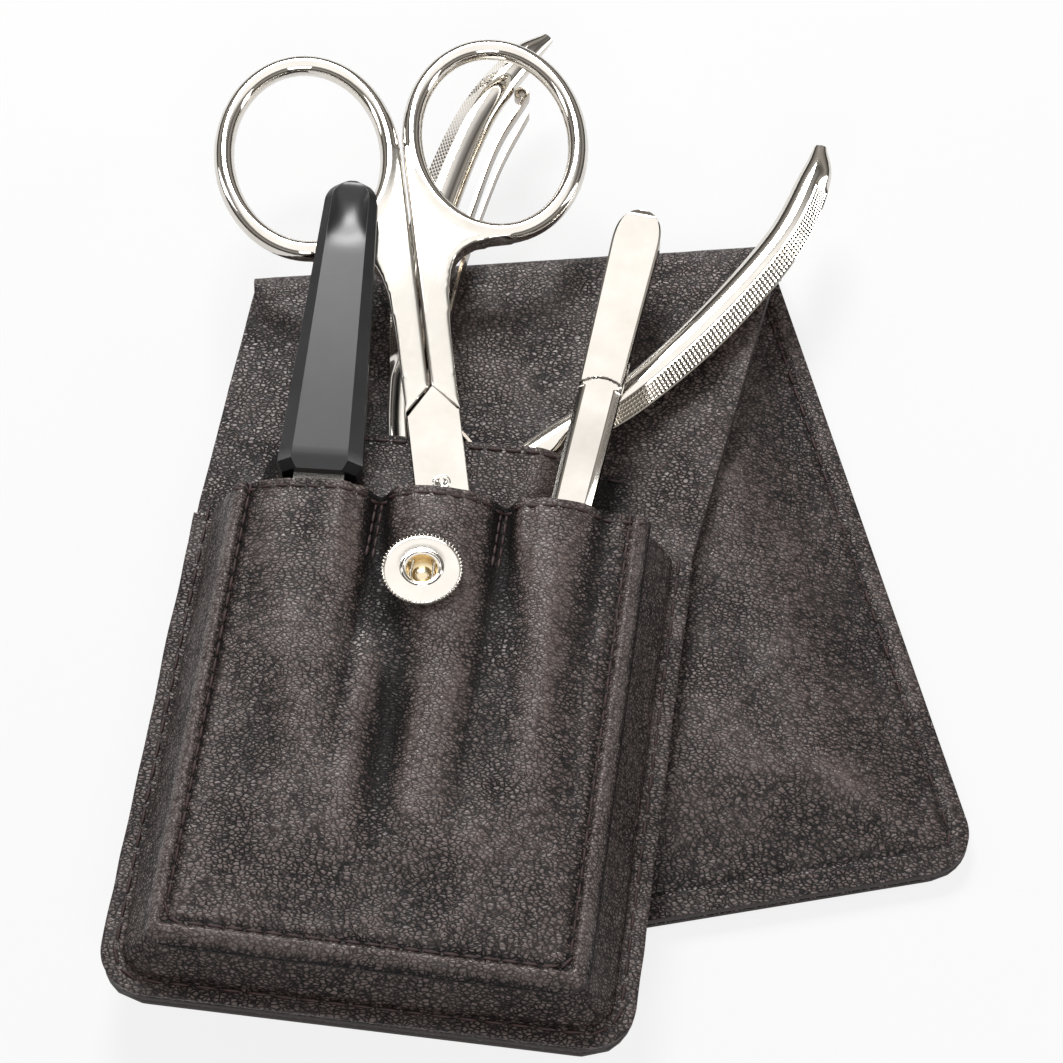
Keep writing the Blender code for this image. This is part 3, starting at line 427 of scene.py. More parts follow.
class Workshop:
    """Materials and shared mesh work."""

    def __init__(self) -> None:
        """Make every finish once."""
        self.leather = PebbleLeather("dark_leather_grain").build()
        self.lining = PebbleLeather("lining_grain", grain=Grain.LINING, roughness=0.45).build()
        self.edge = CutEdge("cut_leather_edge").build()
        self.thread = CutEdge(
            "dark_red_thread", dark=(0.012, 0.0045, 0.0045), light=(0.045, 0.016, 0.014),
            roughness=0.62,
        ).build()
        self.nickel = PolishedMetal("polished_nickel").build()
        # Leaf springs are rougher because they are spring steel. They are darker than the nickel as
        # painted shade for the dark case that the leaves reflect.
        self.spring = PolishedMetal(
            "spring_steel_painted_shade", bright=(0.52, 0.47, 0.41), worn=(0.40, 0.36, 0.31),
            roughness=0.15, grain=0.6,
        ).build()
        self.brass = PolishedMetal(
            "pale_brass", bright=(0.80, 0.70, 0.50), worn=(0.62, 0.50, 0.32), roughness=0.2,
        ).build()
        self.plastic = SatinPlastic("black_satin_plastic").build()
        self.grit = GritCoat("grit_coat").build()

    @staticmethod
    def link(name: str, mesh: bpy.types.Mesh) -> bpy.types.Object:
        """Put a mesh into the scene as an object at the origin."""
        made = bpy.data.objects.new(name, mesh)
        bpy.context.scene.collection.objects.link(made)
        return made

    @staticmethod
    def mesh_from(
        name: str, verts: Sequence[Vector], faces: Sequence[Sequence[int]],
    ) -> bpy.types.Mesh:
        """Make a mesh in the frame, moved from the case's own origin.

        Args:
            name: Name of the mesh.
            verts: Points measured from the scissors' pivot line.
            faces: Corner numbers of each face.

        Returns:
            The mesh.
        """
        mesh = bpy.data.meshes.new(name)
        mesh.from_pydata([(v.x, v.y - ORIGIN_Y, v.z) for v in verts], [], faces)
        mesh.update()
        return mesh

    @staticmethod
    def smooth(mesh: bpy.types.Mesh, angle: float = 38.0) -> None:
        """Shade smooth, with edges past the angle kept sharp."""
        mesh.shade_smooth()
        mesh.set_sharp_from_angle(angle=math.radians(angle))

    def sheet(
        self, name: str, place: Place, across: int, along: int, thickness: float,
        finish: bpy.types.Material, rounding: float = 0.0,
    ) -> bpy.types.Object:
        """A curved sheet with thickness and softened edges.

        Args:
            name: Name of the piece.
            place: Where two shares of the sheet lie, on its lower face.
            across: Steps across.
            along: Steps along.
            thickness: How far it grows along its normals.
            finish: Its material.
            rounding: Width of the softened edge, or zero.

        Returns:
            The piece.
        """
        verts = [
            place(i / across, j / along) for j in range(along + 1) for i in range(across + 1)
        ]
        step = across + 1
        faces = [
            (j * step + i, j * step + i + 1, (j + 1) * step + i + 1, (j + 1) * step + i)
            for j in range(along) for i in range(across)
        ]
        mesh = self.mesh_from(name, verts, faces)
        made = self.link(name, mesh)
        mesh.materials.append(finish)
        solid = made.modifiers.new("Thickness", "SOLIDIFY")
        solid.thickness = thickness
        solid.offset = 1.0
        if rounding:
            soft = made.modifiers.new("Soft edge", "BEVEL")
            soft.width = rounding
            soft.segments = 3
            soft.limit_method = "ANGLE"
            soft.angle_limit = math.radians(60.0)
        self.smooth(mesh, 60.0)
        return made

    def loft(
        self, name: str, rings: Sequence[Sequence[Vector]], finish: bpy.types.Material,
        closed: bool = False, angle: float = 38.0,
    ) -> bpy.types.Object:
        """A closed skin over rings of points.

        Args:
            name: Name of the piece.
            rings: Rings of equal count, in order.
            finish: Its material.
            closed: True where the last ring meets the first.
            angle: Edges sharper than this stay sharp.

        Returns:
            The piece.
        """
        verts = [point for ring in rings for point in ring]
        count = len(rings[0])
        faces = []
        spans = len(rings) if closed else len(rings) - 1
        for index in range(spans):
            low = index * count
            high = ((index + 1) % len(rings)) * count
            for corner in range(count):
                after = (corner + 1) % count
                faces.append((low + corner, low + after, high + after, high + corner))
        if not closed:
            faces.append(tuple(range(count - 1, -1, -1)))
            last = (len(rings) - 1) * count
            faces.append(tuple(range(last, last + count)))
        mesh = self.mesh_from(name, verts, faces)
        work = bmesh.new()
        work.from_mesh(mesh)
        bmesh.ops.recalc_face_normals(work, faces=work.faces)
        work.to_mesh(mesh)
        work.free()
        mesh.materials.append(finish)
        self.smooth(mesh, angle)
        return self.link(name, mesh)

    @staticmethod
    def baked(made: bpy.types.Object) -> bpy.types.Object:
        """Turn an object's modifiers into its plain mesh."""
        bpy.context.view_layer.update()
        graph = bpy.context.evaluated_depsgraph_get()
        mesh = bpy.data.meshes.new_from_object(made.evaluated_get(graph))
        made.modifiers.clear()
        made.data = mesh
        return made

    def joined(self, name: str, pieces: Sequence[bpy.types.Object]) -> bpy.types.Object:
        """Bake pieces and gather them in one object."""
        work = bmesh.new()
        finishes: list[bpy.types.Material] = []
        for piece in pieces:
            self.baked(piece)
            start = len(work.faces)
            work.from_mesh(piece.data)
            work.faces.ensure_lookup_table()
            own = list(piece.data.materials)
            for finish in own:
                if finish not in finishes:
                    finishes.append(finish)
            for face in work.faces[start:]:
                face.material_index = finishes.index(own[face.material_index])
        mesh = bpy.data.meshes.new(name)
        work.to_mesh(mesh)
        work.free()
        for finish in finishes:
            mesh.materials.append(finish)
        for piece in pieces:
            bpy.data.objects.remove(piece)
        return self.link(name, mesh)


def catmull(points: Sequence[Vector], steps: int) -> list[Vector]:
    """Points on a smooth curve through the given ones.

    Args:
        points: The stations.
        steps: Points per span.

    Returns:
        The finer route, ending on the last station.
    """
    held = [2 * points[0] - points[1], *points, 2 * points[-1] - points[-2]]
    route = []
    for index in range(1, len(held) - 2):
        before, start, end, after = held[index - 1:index + 3]
        for step in range(steps):
            t = step / steps
            route.append(0.5 * (
                2 * start + (end - before) * t
                + (2 * before - 5 * start + 4 * end - after) * t ** 2
                + (3 * start - before - 3 * end + after) * t ** 3
            ))
    route.append(points[-1].copy())
    return route


@dataclass
class LeatherCase:
    """The pocket, back, fold and flap, with the heights that every other piece stands on."""

    shop: Workshop
    leather: float = 0.0011
    lining: float = 0.0008
    clear: float = 0.0003
    half_width: float = 0.0330
    bottom_y: float = -0.0735
    corner: float = 0.0060
    flare_y: float = -0.0020
    face_half: float = 0.0274
    face_bottom_y: float = -0.0699
    face_corner: float = 0.0030
    hem_middle_y: float = -0.0043
    hem_skew: float = 0.03
    slot_shares: tuple[float, ...] = (-0.894, -0.285, 0.307, 0.861)
    pinches: tuple[tuple[float, float, float, float], ...] = (
        (-0.285, 0.0022, 0.0056, 0.038), (0.307, 0.0022, 0.0040, 0.026),
        (0.780, 0.0013, 0.0000, 0.026),
    )
    fold_left: Vector = field(default_factory=lambda: Vector((-0.0325, 0.0370)))
    fold_right: Vector = field(default_factory=lambda: Vector((0.0390, 0.0522)))
    free_left: Vector = field(default_factory=lambda: Vector((0.0085, -0.0604)))
    free_right: Vector = field(default_factory=lambda: Vector((0.0742, -0.0394)))
    fold_radius: float = 0.00385
    fold_thickness: float = 0.0018
    tuck: float = 0.00022
    back_low: float = 0.0055
    back_top: float = 0.0077
    hollows: tuple[tuple[float, float, float, float, float], ...] = (
        (-0.0016, 0.036, 0.0030, 0.012, 0.0022), (0.0122, 0.032, 0.0036, 0.011, 0.0011),
        (-0.0185, 0.038, 0.0040, 0.013, 0.0007), (0.0030, 0.054, 0.0090, 0.005, 0.0005),
        (0.0205, 0.020, 0.0030, 0.014, 0.0007),
    )
    socket: tuple[float, float] = (-0.0004, -0.0172)
    # relief_reach, relief_depth and relief_crest set the sunken attribute: painted shade in hollows
    # and folds, painted highlight on crests.
    relief_reach: int = 9
    relief_depth: float = 0.0009
    relief_crest: float = -0.36
    seam_inset: float = 0.0027
    rim_stitch_inset: float = 0.0017

    def __post_init__(self) -> None:
        """Work out the hinge line from the fold's outer edge."""
        self.along_fold = (self.fold_right - self.fold_left).normalized()
        self.inward = Vector((self.along_fold.y, -self.along_fold.x))
        self.hinge_left = self.fold_left + self.inward * self.fold_radius
        self.hinge_right = self.fold_right + self.inward * self.fold_radius

    def corner_inset(self, distance: float, radius: float) -> float:
        """How far a round corner draws a row in, at a distance from the end edge."""
        if distance >= radius:
            return 0.0
        return radius - math.sqrt(max(radius ** 2 - (radius - distance) ** 2, 0.0))

    def face_under(self, x: float, y: float) -> float:
        """Height of the underside of the pocket's front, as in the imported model.

        Args:
            x: Place across.
            y: Place along.

        Returns:
            The height above the table.
        """
        rise = self.hem_middle_y - self.face_bottom_y
        up = min(max((y - self.face_bottom_y) / rise, 0.0), 1.0)
        base = 0.0149 + 0.0017 * up
        share = min(abs(x) / self.face_half, 1.0)
        dome = 0.0015 * (1.0 - share ** 2) * smoothstep((y - self.face_bottom_y) / 0.018)
        fade = smoothstep((y + 0.058) / 0.034)
        bulge = 0.0
        for left_share, right_share in zip(self.slot_shares, self.slot_shares[1:]):
            left = self.face_half * left_share
            right = self.face_half * right_share
            if left < x < right:
                bulge = 0.0016 * math.sin(math.pi * (x - left) / (right - left)) ** 0.8
        edge = min(self.face_half - abs(x), y - self.face_bottom_y)
        roll = 0.0010 * (1.0 - smoothstep(edge / 0.0030))
        return base + dome + bulge * fade - roll

    def hem_y(self, x: float) -> float:
        """The mouth's edge."""
        return self.hem_middle_y + self.hem_skew * x

    def seam_distance(self, x: float, y: float) -> float:
        """Distance to the front's topstitch line, positive inside it."""
        return min(self.face_half - abs(x), y - self.face_bottom_y) - self.seam_inset

    def creases(self, x: float, y: float, seed: float, strength: float) -> float:
        """Small natural folds of the hide.

        Args:
            x: Place across.
            y: Place along.
            seed: Picks the pattern.
            strength: Height of the folds, in metres.

        Returns:
            A height to add.
        """
        drift = 0.002 * wave(x, y, 0.014, seed + 3.0)
        broad = wave(x + drift, y, 0.0105, seed)
        middle = wave(x, y + drift, 0.0042, seed + 7.0)
        fine = wave(x + 2 * drift, y - drift, 0.0019, seed + 11.0)
        ridged = 1.0 - abs(middle)
        return strength * (0.9 * broad + 0.45 * (ridged - 0.7) + 0.22 * fine)

    def pinch(self, x: float, y: float) -> float:
        """How far the front sinks between its slots, where their seams draw it in.

        Args:
            x: Place across.
            y: Place along.

        Returns:
            A depth to take away.
        """
        mouth = self.hem_y(x) - y
        depth = 0.0
        for share, sink, lean, reach in self.pinches:
            line = self.face_half * share + lean * smoothstep(mouth / 0.028)
            fade = 1.0 - smoothstep((mouth - 0.006) / reach)
            depth += sink * fade * bell(x - line, 0.0015 + 0.11 * mouth)
        return depth

    def sunk(self, x: float, y: float) -> float:
        """How far the two inner skins give way under the front's hollows and rolled edge."""
        mouth = self.hem_y(x) - y
        depth = 0.0
        for across, down, wide, tall, sink in self.hollows:
            depth += sink * bell(x - across, wide) * bell(mouth - down, tall)
        return depth

    def face_top(self, x: float, y: float) -> float:
        """Height of the front leather's grain side.

        Args:
            x: Place across.
            y: Place along.

        Returns:
            The height above the table, with its seams and folds.
        """
        height = self.face_under(x, y) + self.lining + self.clear + self.leather
        seam = self.seam_distance(x, y)
        mouth = self.hem_y(x) - y
        edge = max(seam + self.seam_inset, 0.0)
        groove = 0.00052 * bell(seam, 0.00055) - 0.00072 * bell(edge - 0.0014, 0.0010)
        if edge < 0.0010:
            groove += 0.0010 * (1.0 - math.sqrt(1.0 - (1.0 - edge / 0.0010) ** 2))
        pucker = 0.00009 * bell(seam, 0.0013) * math.sin(2 * math.pi * (x + y) / 0.0024)
        hem = 0.00020 * bell(mouth - 0.0011, 0.0005)
        tucks = 0.0
        for share in self.slot_shares[1:-1]:
            line = self.face_half * share
            near = 1.0 - smoothstep((mouth - 0.004) / 0.012)
            for aside, sink in ((-0.0031, 0.00038), (0.0034, 0.00042), (0.0009, 0.0003)):
                tucks += sink * near * bell(x - line - aside - 0.06 * mouth, 0.0007 + 0.03 * mouth)
        hollow = self.sunk(x, y)
        inner = smoothstep(seam / 0.003)
        folds = self.creases(x, y, 1.7, 0.00038) * (0.35 + 0.65 * inner)
        below = 0.00042 * inner * wave(x, y * 0.45, 0.0062, 21.0)
        away = math.hypot(x - self.socket[0], y - self.socket[1])
        pressed = 0.00085 * (1.0 - smoothstep((away - 0.0019) / 0.0005))
        lowered = groove + hem + tucks + hollow * inner + self.pinch(x, y) + pressed
        return height - lowered + pucker + folds + below

    def shell(
        self, name: str, low: Place, high: Place, across: int, along: int,
        finish: bpy.types.Material, rounding: float,
    ) -> bpy.types.Object:
        """A sheet between two surfaces, with dyed cut edges.

        Args:
            name: Name of the piece.
            low: Its lower surface over two shares.
            high: Its upper surface over the same shares.
            across: Steps across.
            along: Steps along.
            finish: Its leather.
            rounding: Width of the softened edge.

        Returns:
            The piece.
        """
        step = across + 1
        count = step * (along + 1)
        spots = [(i / across, j / along) for j in range(along + 1) for i in range(step)]
        verts = [high(s, t) for s, t in spots] + [low(s, t) for s, t in spots]
        faces = []
        for j in range(along):
            for i in range(across):
                a = j * step + i
                b, c, d = a + 1, a + step + 1, a + step
                faces.append((a, b, c, d))
                faces.append((count + d, count + c, count + b, count + a))
        ring = [i for i in range(across)]
        ring += [across + j * step for j in range(along)]
        ring += [along * step + across - i for i in range(across)]
        ring += [(along - j) * step for j in range(along)]
        skin = len(faces)
        for first, second in zip(ring, ring[1:] + ring[:1]):
            faces.append((second, first, count + first, count + second))
        mesh = self.shop.mesh_from(name, verts, faces)
        self.mark_relief(mesh, step, count)
        mesh.materials.append(finish)
        mesh.materials.append(self.shop.edge)
        for polygon in mesh.polygons[skin:]:
            polygon.material_index = 1
        made = self.shop.link(name, mesh)
        soft = made.modifiers.new("Soft edge", "BEVEL")
        soft.width = rounding
        soft.segments = 3
        soft.limit_method = "ANGLE"
        soft.angle_limit = math.radians(50.0)
        soft.harden_normals = False
        mesh.shade_smooth()
        return made

    def mark_relief(self, mesh: bpy.types.Mesh, step: int, count: int) -> None:
        """Store how far each upper corner lies below its surroundings, for the leather's painted
        shade in hollows and folds and painted highlight on crests.

        Args:
            mesh: The sheet, its upper corners first, row by row.
            step: Corners in a row.
            count: Upper corners in all.
        """
        heights = [vertex.co.z for vertex in mesh.vertices[:count]]
        reach = self.relief_reach
        rows = [blurred(heights[first:first + step], reach) for first in range(0, count, step)]
        columns = [blurred(column, reach) for column in zip(*rows)]
        sunken = mesh.attributes.new("sunken", "FLOAT", "POINT")
        for number, height in enumerate(heights):
            around = columns[number % step][number // step]
            # A positive share paints shade into hollows and folds. The floor at relief_crest paints
            # a highlight on crests.
            share = (around - height) / self.relief_depth
            sunken.data[number].value = min(max(share, self.relief_crest), 1.0)

    def build_front(self) -> list[bpy.types.Object]:
        """The front's leather and lining, with the snap over the socket's place."""
        def spot(
            s: float, t: float, half: float, bottom: float, corner: float,
        ) -> tuple[float, float]:
            row = t ** 1.25
            inset = self.corner_inset(row * (self.hem_middle_y - bottom), corner)
            eased = 0.55 * s + 0.225 * (1.0 - math.cos(math.pi * s))
            x = (half - inset) * (2.0 * eased - 1.0)
            return x, bottom + row * (self.hem_y(x) - bottom)

        def high(s: float, t: float) -> Vector:
            x, y = spot(s, t, self.face_half, self.face_bottom_y, self.face_corner)
            return Vector((x, y, self.face_top(x, y)))

        def low(s: float, t: float) -> Vector:
            x, y = spot(s, t, self.face_half, self.face_bottom_y, self.face_corner)
            under = self.face_under(x, y) + self.lining + self.clear
            return Vector((x, y, under - self.pinch(x, y) - self.sunk(x, y)))

        leather = self.shell(
            "pocket_front", low, high, 150, 180, self.shop.leather, 0.00032,
        )
        inside = 0.0034 + 3 * self.clear
        half = self.face_half - inside
        bottom = self.face_bottom_y + inside

        def backing_low(s: float, t: float) -> Vector:
            x, y = spot(s, t, half, bottom, self.face_corner)
            return Vector((x, y, self.face_under(x, y) - self.pinch(x, y) - self.sunk(x, y)))

        def backing_high(s: float, t: float) -> Vector:
            x, y = spot(s, t, half, bottom, self.face_corner)
            under = self.face_under(x, y) + self.lining
            return Vector((x, y, under - self.pinch(x, y) - self.sunk(x, y)))

        backing = self.shell(
            "pocket_front_backing", backing_low, backing_high, 60, 60, self.shop.lining, 0.00022,
        )
        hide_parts("pocket_front_leather")
        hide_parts("pocket_front_lining")
        return [leather, backing]

    def u_path(self, half: float, low: float, corner: float, share: float) -> Vector:
        """A place on a round-cornered U, down the left side, along the bottom and up the right."""
        mirror = share > 0.5
        part = 1.0 - share if mirror else share
        if part < 0.36:
            x = -half
            y = self.hem_middle_y + (low + corner - self.hem_middle_y) * part / 0.36
        elif part < 0.42:
            angle = math.pi / 2 * (part - 0.36) / 0.06
            x = -half + corner - corner * math.cos(angle)
            y = low + corner - corner * math.sin(angle)
        else:
            x = (-half + corner) * (1.0 - (part - 0.42) / 0.08)
            y = low
        return Vector((-x if mirror else x, y))

    def gusset_profile(self, s: float) -> list[Vector]:
        """The gusset's underside across one station, from its rim to its tab."""
        foot = self.back_top + self.clear
        thickness = 0.0008

        def rim(inset: float) -> Vector:
            return self.u_path(
                self.half_width - inset, self.bottom_y + inset, max(self.corner - inset, 0.0003), s,
            )

        def ridge(inset: float) -> Vector:
            return self.u_path(
                self.face_half - self.clear - inset, self.face_bottom_y + self.clear + inset,
                max(self.face_corner - inset, 0.0003), s,
            )

        inner = ridge(thickness)
        top = self.face_under(inner.x, inner.y)
        points = []
        for mix, inset, rise in (
            (0.0, 0.0, 0.0), (0.0, 0.0012, 0.0), (0.0, 0.0024, 0.0), (0.10, 0.0028, 0.07),
            (0.34, 0.0020, 0.27), (0.62, 0.00126, 0.5), (0.84, 0.0005, 0.77), (1.0, 0.0, 1.0),
        ):
            spot = rim(inset).lerp(inner, mix)
            points.append(Vector((spot.x, spot.y, foot + (top - foot) * rise)))
        tab = ridge(0.0034)
        points.append(Vector((tab.x, tab.y, self.face_under(tab.x, tab.y))))
        return points

    def build_gusset(self) -> bpy.types.Object:
        """The concave wall of the pocket, mitred at its two lower corners."""
        cache: dict[float, list[Vector]] = {}

        def place(s: float, t: float) -> Vector:
            key = round(s, 6)
            if key not in cache:
                points = self.gusset_profile(s)
                cache[key] = catmull(points[:-1], 5) + [points[-1]]
            route = cache[key]
            spot = route[min(round(t * (len(route) - 1)), len(route) - 1)].copy()
            rise = smoothstep((spot.z - 0.0085) / 0.002) * smoothstep((0.0150 - spot.z) / 0.002)
            corner = min(abs(s - 0.392), abs(s - 0.608))
            dent = 0.00085 * bell(corner, 0.0040) * rise
            folds = (self.creases(spot.x * 1.3, spot.y, 31.0, 0.00026)
                     + 0.00045 * wave(spot.x, spot.y * 0.8, 0.009, 35.0)) * rise
            outward = Vector((spot.x, spot.y + 0.03, 0.0)).normalized()
            spot -= outward * (dent - folds)
            if 0.0015 < t < 0.995 and spot.z < 0.0083:
                spot.z += 0.00010 * (0.5 + 0.5 * wave(spot.x, spot.y, 0.005, 33.0))
            return spot

        made = self.shop.sheet(
            "pocket_gusset_wall", place, 420, 36, 0.0008, self.shop.leather, 0.0002,
        )
        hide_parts("pocket_gusset")
        return made

    def inner_under(self, x: float, y: float) -> float:
        """Height of the inner panel's underside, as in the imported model."""
        opening = smoothstep((y + 0.0080) / 0.0117)
        aside = abs(x + 0.0030) - 0.0033 * opening
        across = smoothstep((0.0205 - aside) / 0.0100)
        along = smoothstep((y + 0.0600) / 0.0450)
        return self.back_top + self.clear + 0.0054 * across * along

    def build_inner_panel(self) -> bpy.types.Object:
        """The panel that parts the nipper from the front slots."""
        def spot(s: float, t: float) -> tuple[float, float]:
            inset = self.corner_inset((1.0 - t) * 0.074, 0.0050)
            x = (0.0250 - inset) * (2.0 * s - 1.0)
            return x, -0.0660 + t * (0.0080 + 0.035 * x + 0.0660)

        def low(s: float, t: float) -> Vector:
            x, y = spot(s, t)
            return Vector((x, y, self.inner_under(x, y)))

        def high(s: float, t: float) -> Vector:
            x, y = spot(s, t)
            from_top = 0.0080 + 0.035 * x - y
            groove = 0.00012 * bell(from_top - 0.0009, 0.00045)
            folds = self.creases(x, y, 41.0, 0.00006)
            return Vector((x, y, self.inner_under(x, y) + self.lining - groove + folds))

        made = self.shell("inner_pocket_panel", low, high, 110, 130, self.shop.lining, 0.00022)
        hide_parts("inner_panel")
        return made

    def build_back(self) -> list[bpy.types.Object]:
        """The back's outer leather and lining."""
        top_left = self.hinge_left + self.inward * 0.0001
        top_right = self.hinge_right + self.inward * 0.0001

        def spot(s: float, t: float) -> Vector:
            left_y = self.bottom_y + t * (top_left.y - self.bottom_y)
            right_y = self.bottom_y + t * (top_right.y - self.bottom_y)
            drawn = self.corner_inset(left_y - self.bottom_y, self.corner)
            left_x = -self.half_width + drawn
            up = max((left_y - self.flare_y) / (top_left.y - self.flare_y), 0.0)
            left_x += (top_left.x + self.half_width) * up
            grown = max((right_y - self.flare_y) / (top_right.y - self.flare_y), 0.0)
            right_x = self.half_width - drawn + (top_right.x - self.half_width) * grown
            return Vector((left_x + (right_x - left_x) * s, left_y + (right_y - left_y) * s))

        def level(height: float, strength: float, seed: float) -> Place:
            def place(s: float, t: float) -> Vector:
                flat = spot(s, t)
                mouth = smoothstep((flat.y + 0.004) / 0.004) * smoothstep((1.0 - t) / 0.02)
                folds = self.creases(flat.x, flat.y, seed, strength) * mouth
                dip = self.tuck * smoothstep(1.0 - (1.0 - t) / 0.035) if strength else 0.0
                return Vector((flat.x, flat.y, height + folds - dip))
            return place

        lining = self.shell(
            "back_inside", level(0.0069, 0.0, 0.0), level(self.back_top, 0.00034, 51.0),
            120, 200, self.shop.leather, 0.00022,
        )
        outer = self.shell(
            "back_outside", level(self.back_low, 0.0, 0.0), level(0.0066, 0.0, 0.0),
            60, 100, self.shop.leather, 0.0003,
        )
        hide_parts("back_lining")
        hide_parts("back_outer_leather")
        return [lining, outer]

    def flap_spot(self, s: float, row: float) -> tuple[Vector, float]:
        """A place on the flap and its distance from the nearest edge.

        Args:
            s: Share across, from the left.
            row: Share along, from the fold to the free end.

        Returns:
            The place, and the distance.
        """
        near_left = self.hinge_left + self.inward * 0.0001
        near_right = self.hinge_right + self.inward * 0.0001
        length = ((self.free_left - near_left).length + (self.free_right - near_right).length) / 2
        width = ((near_right - near_left).length + (self.free_right - self.free_left).length) / 2
        left = near_left.lerp(self.free_left, row)
        right = near_right.lerp(self.free_right, row)
        from_free = (1.0 - row) * length
        inset = self.corner_inset(from_free, 0.0070) / width
        across = inset + (1.0 - 2.0 * inset) * s
        edge = min(across * width, (1.0 - across) * width, from_free)
        return left.lerp(right, across), edge - inset * width

    def build_flap(self) -> list[bpy.types.Object]:
        """The flap's crowned leather and lining, with its stitched border."""
        def level(height: float, crown: float, dressed: bool) -> Place:
            def place(s: float, t: float) -> Vector:
                row = 1.0 - (1.0 - t) ** 1.15
                spot, edge = self.flap_spot(s, row)
                from_fold = row * 0.094
                inside = min(edge, from_fold) - 0.0026
                lift = crown * smoothstep(inside / 0.0170)
                if dressed:
                    seam = edge - self.seam_inset
                    groove = 0.00026 * bell(seam, 0.0005) - 0.00012 * bell(seam + 0.0012, 0.0008)
                    pucker = 0.00006 * bell(seam, 0.0013)
                    pucker *= math.sin(2 * math.pi * (spot.x + spot.y) / 0.0028)
                    calm = smoothstep(edge / 0.006) * smoothstep(from_fold / 0.004)
                    folds = self.creases(spot.x, spot.y, 61.0, 0.00036) * calm
                    swell = 0.00070 * wave(spot.x, spot.y, 0.019, 67.0) * calm
                    lift += folds + swell - groove + pucker
                return Vector((spot.x, spot.y, height + lift))
            return place

        leather = self.shell(
            "flap_grain_side", level(0.0011, 0.0030, False), level(0.0022, 0.0030, True),
            150, 190, self.shop.leather, 0.0003,
        )
        lining = self.shell(
            "flap_inside", level(0.0, 0.0023, False), level(0.0008, 0.0023, False),
            70, 90, self.shop.lining, 0.0002,
        )
        for made in (leather, lining):
            for vert in made.data.vertices:
                vert.co.z = max(vert.co.z, 0.0)
        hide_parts("flap_outer_leather")
        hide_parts("flap_lining")
        return [leather, lining]

    def build_fold(self) -> bpy.types.Object:
        """The strip that rolls from the back down to the flap."""
        def place(s: float, t: float) -> Vector:
            spot = self.hinge_left.lerp(self.hinge_right, s)
            if t > 0.88:
                far = (t - 0.88) / 0.12
                spot = spot + self.inward * 0.0030 * far
                return Vector((spot.x, spot.y, self.back_top - self.tuck * far))
            turn = math.pi * (t / 0.88 - 0.5)
            soft = self.creases(spot.x, 0.02 + 0.006 * t, 71.0, 0.00010) * math.cos(turn)
            reach = (self.fold_radius + soft) * math.cos(turn)
            spot = spot - self.inward * reach
            height = self.fold_radius + (self.fold_radius + soft) * math.sin(turn)
            return Vector((spot.x, spot.y, height))

        made = self.shop.sheet(
            "fold_roll", place, 160, 50, self.fold_thickness, self.shop.leather, 0.0003,
        )
        made.modifiers["Thickness"].offset = 1.0
        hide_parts("flap_fold")
        return made

    def seam_route(self, inset: float, step: float) -> list[Vector]:
        """The front's topstitch line on its grain side, down, across and up."""
        half = self.face_half - inset
        low = self.face_bottom_y + inset
        corner = 0.0016
        top = self.hem_y(-half) - 0.0006
        points: list[tuple[float, float]] = []
        count = round((top - low - corner) / step)
        points += [(-half, top + (low + corner - top) * i / count) for i in range(count)]
        for i in range(5):
            angle = math.pi / 2 * i / 4
            points.append((
                -half + corner - corner * math.cos(angle), low + corner - corner * math.sin(angle),
            ))
        across = round((2 * half - 2 * corner) / step)
        start, end = -half + corner, half - corner
        points += [(start + (end - start) * i / across, low) for i in range(1, across)]
        for i in range(5):
            angle = math.pi / 2 * (1 - i / 4)
            points.append((
                half - corner + corner * math.cos(angle), low + corner - corner * math.sin(angle),
            ))
        top = self.hem_y(half) - 0.0006
        points += [
            (half, low + corner + (top - low - corner) * i / count) for i in range(1, count + 1)
        ]
        return [Vector((x, y, self.face_top(x, y))) for x, y in points]


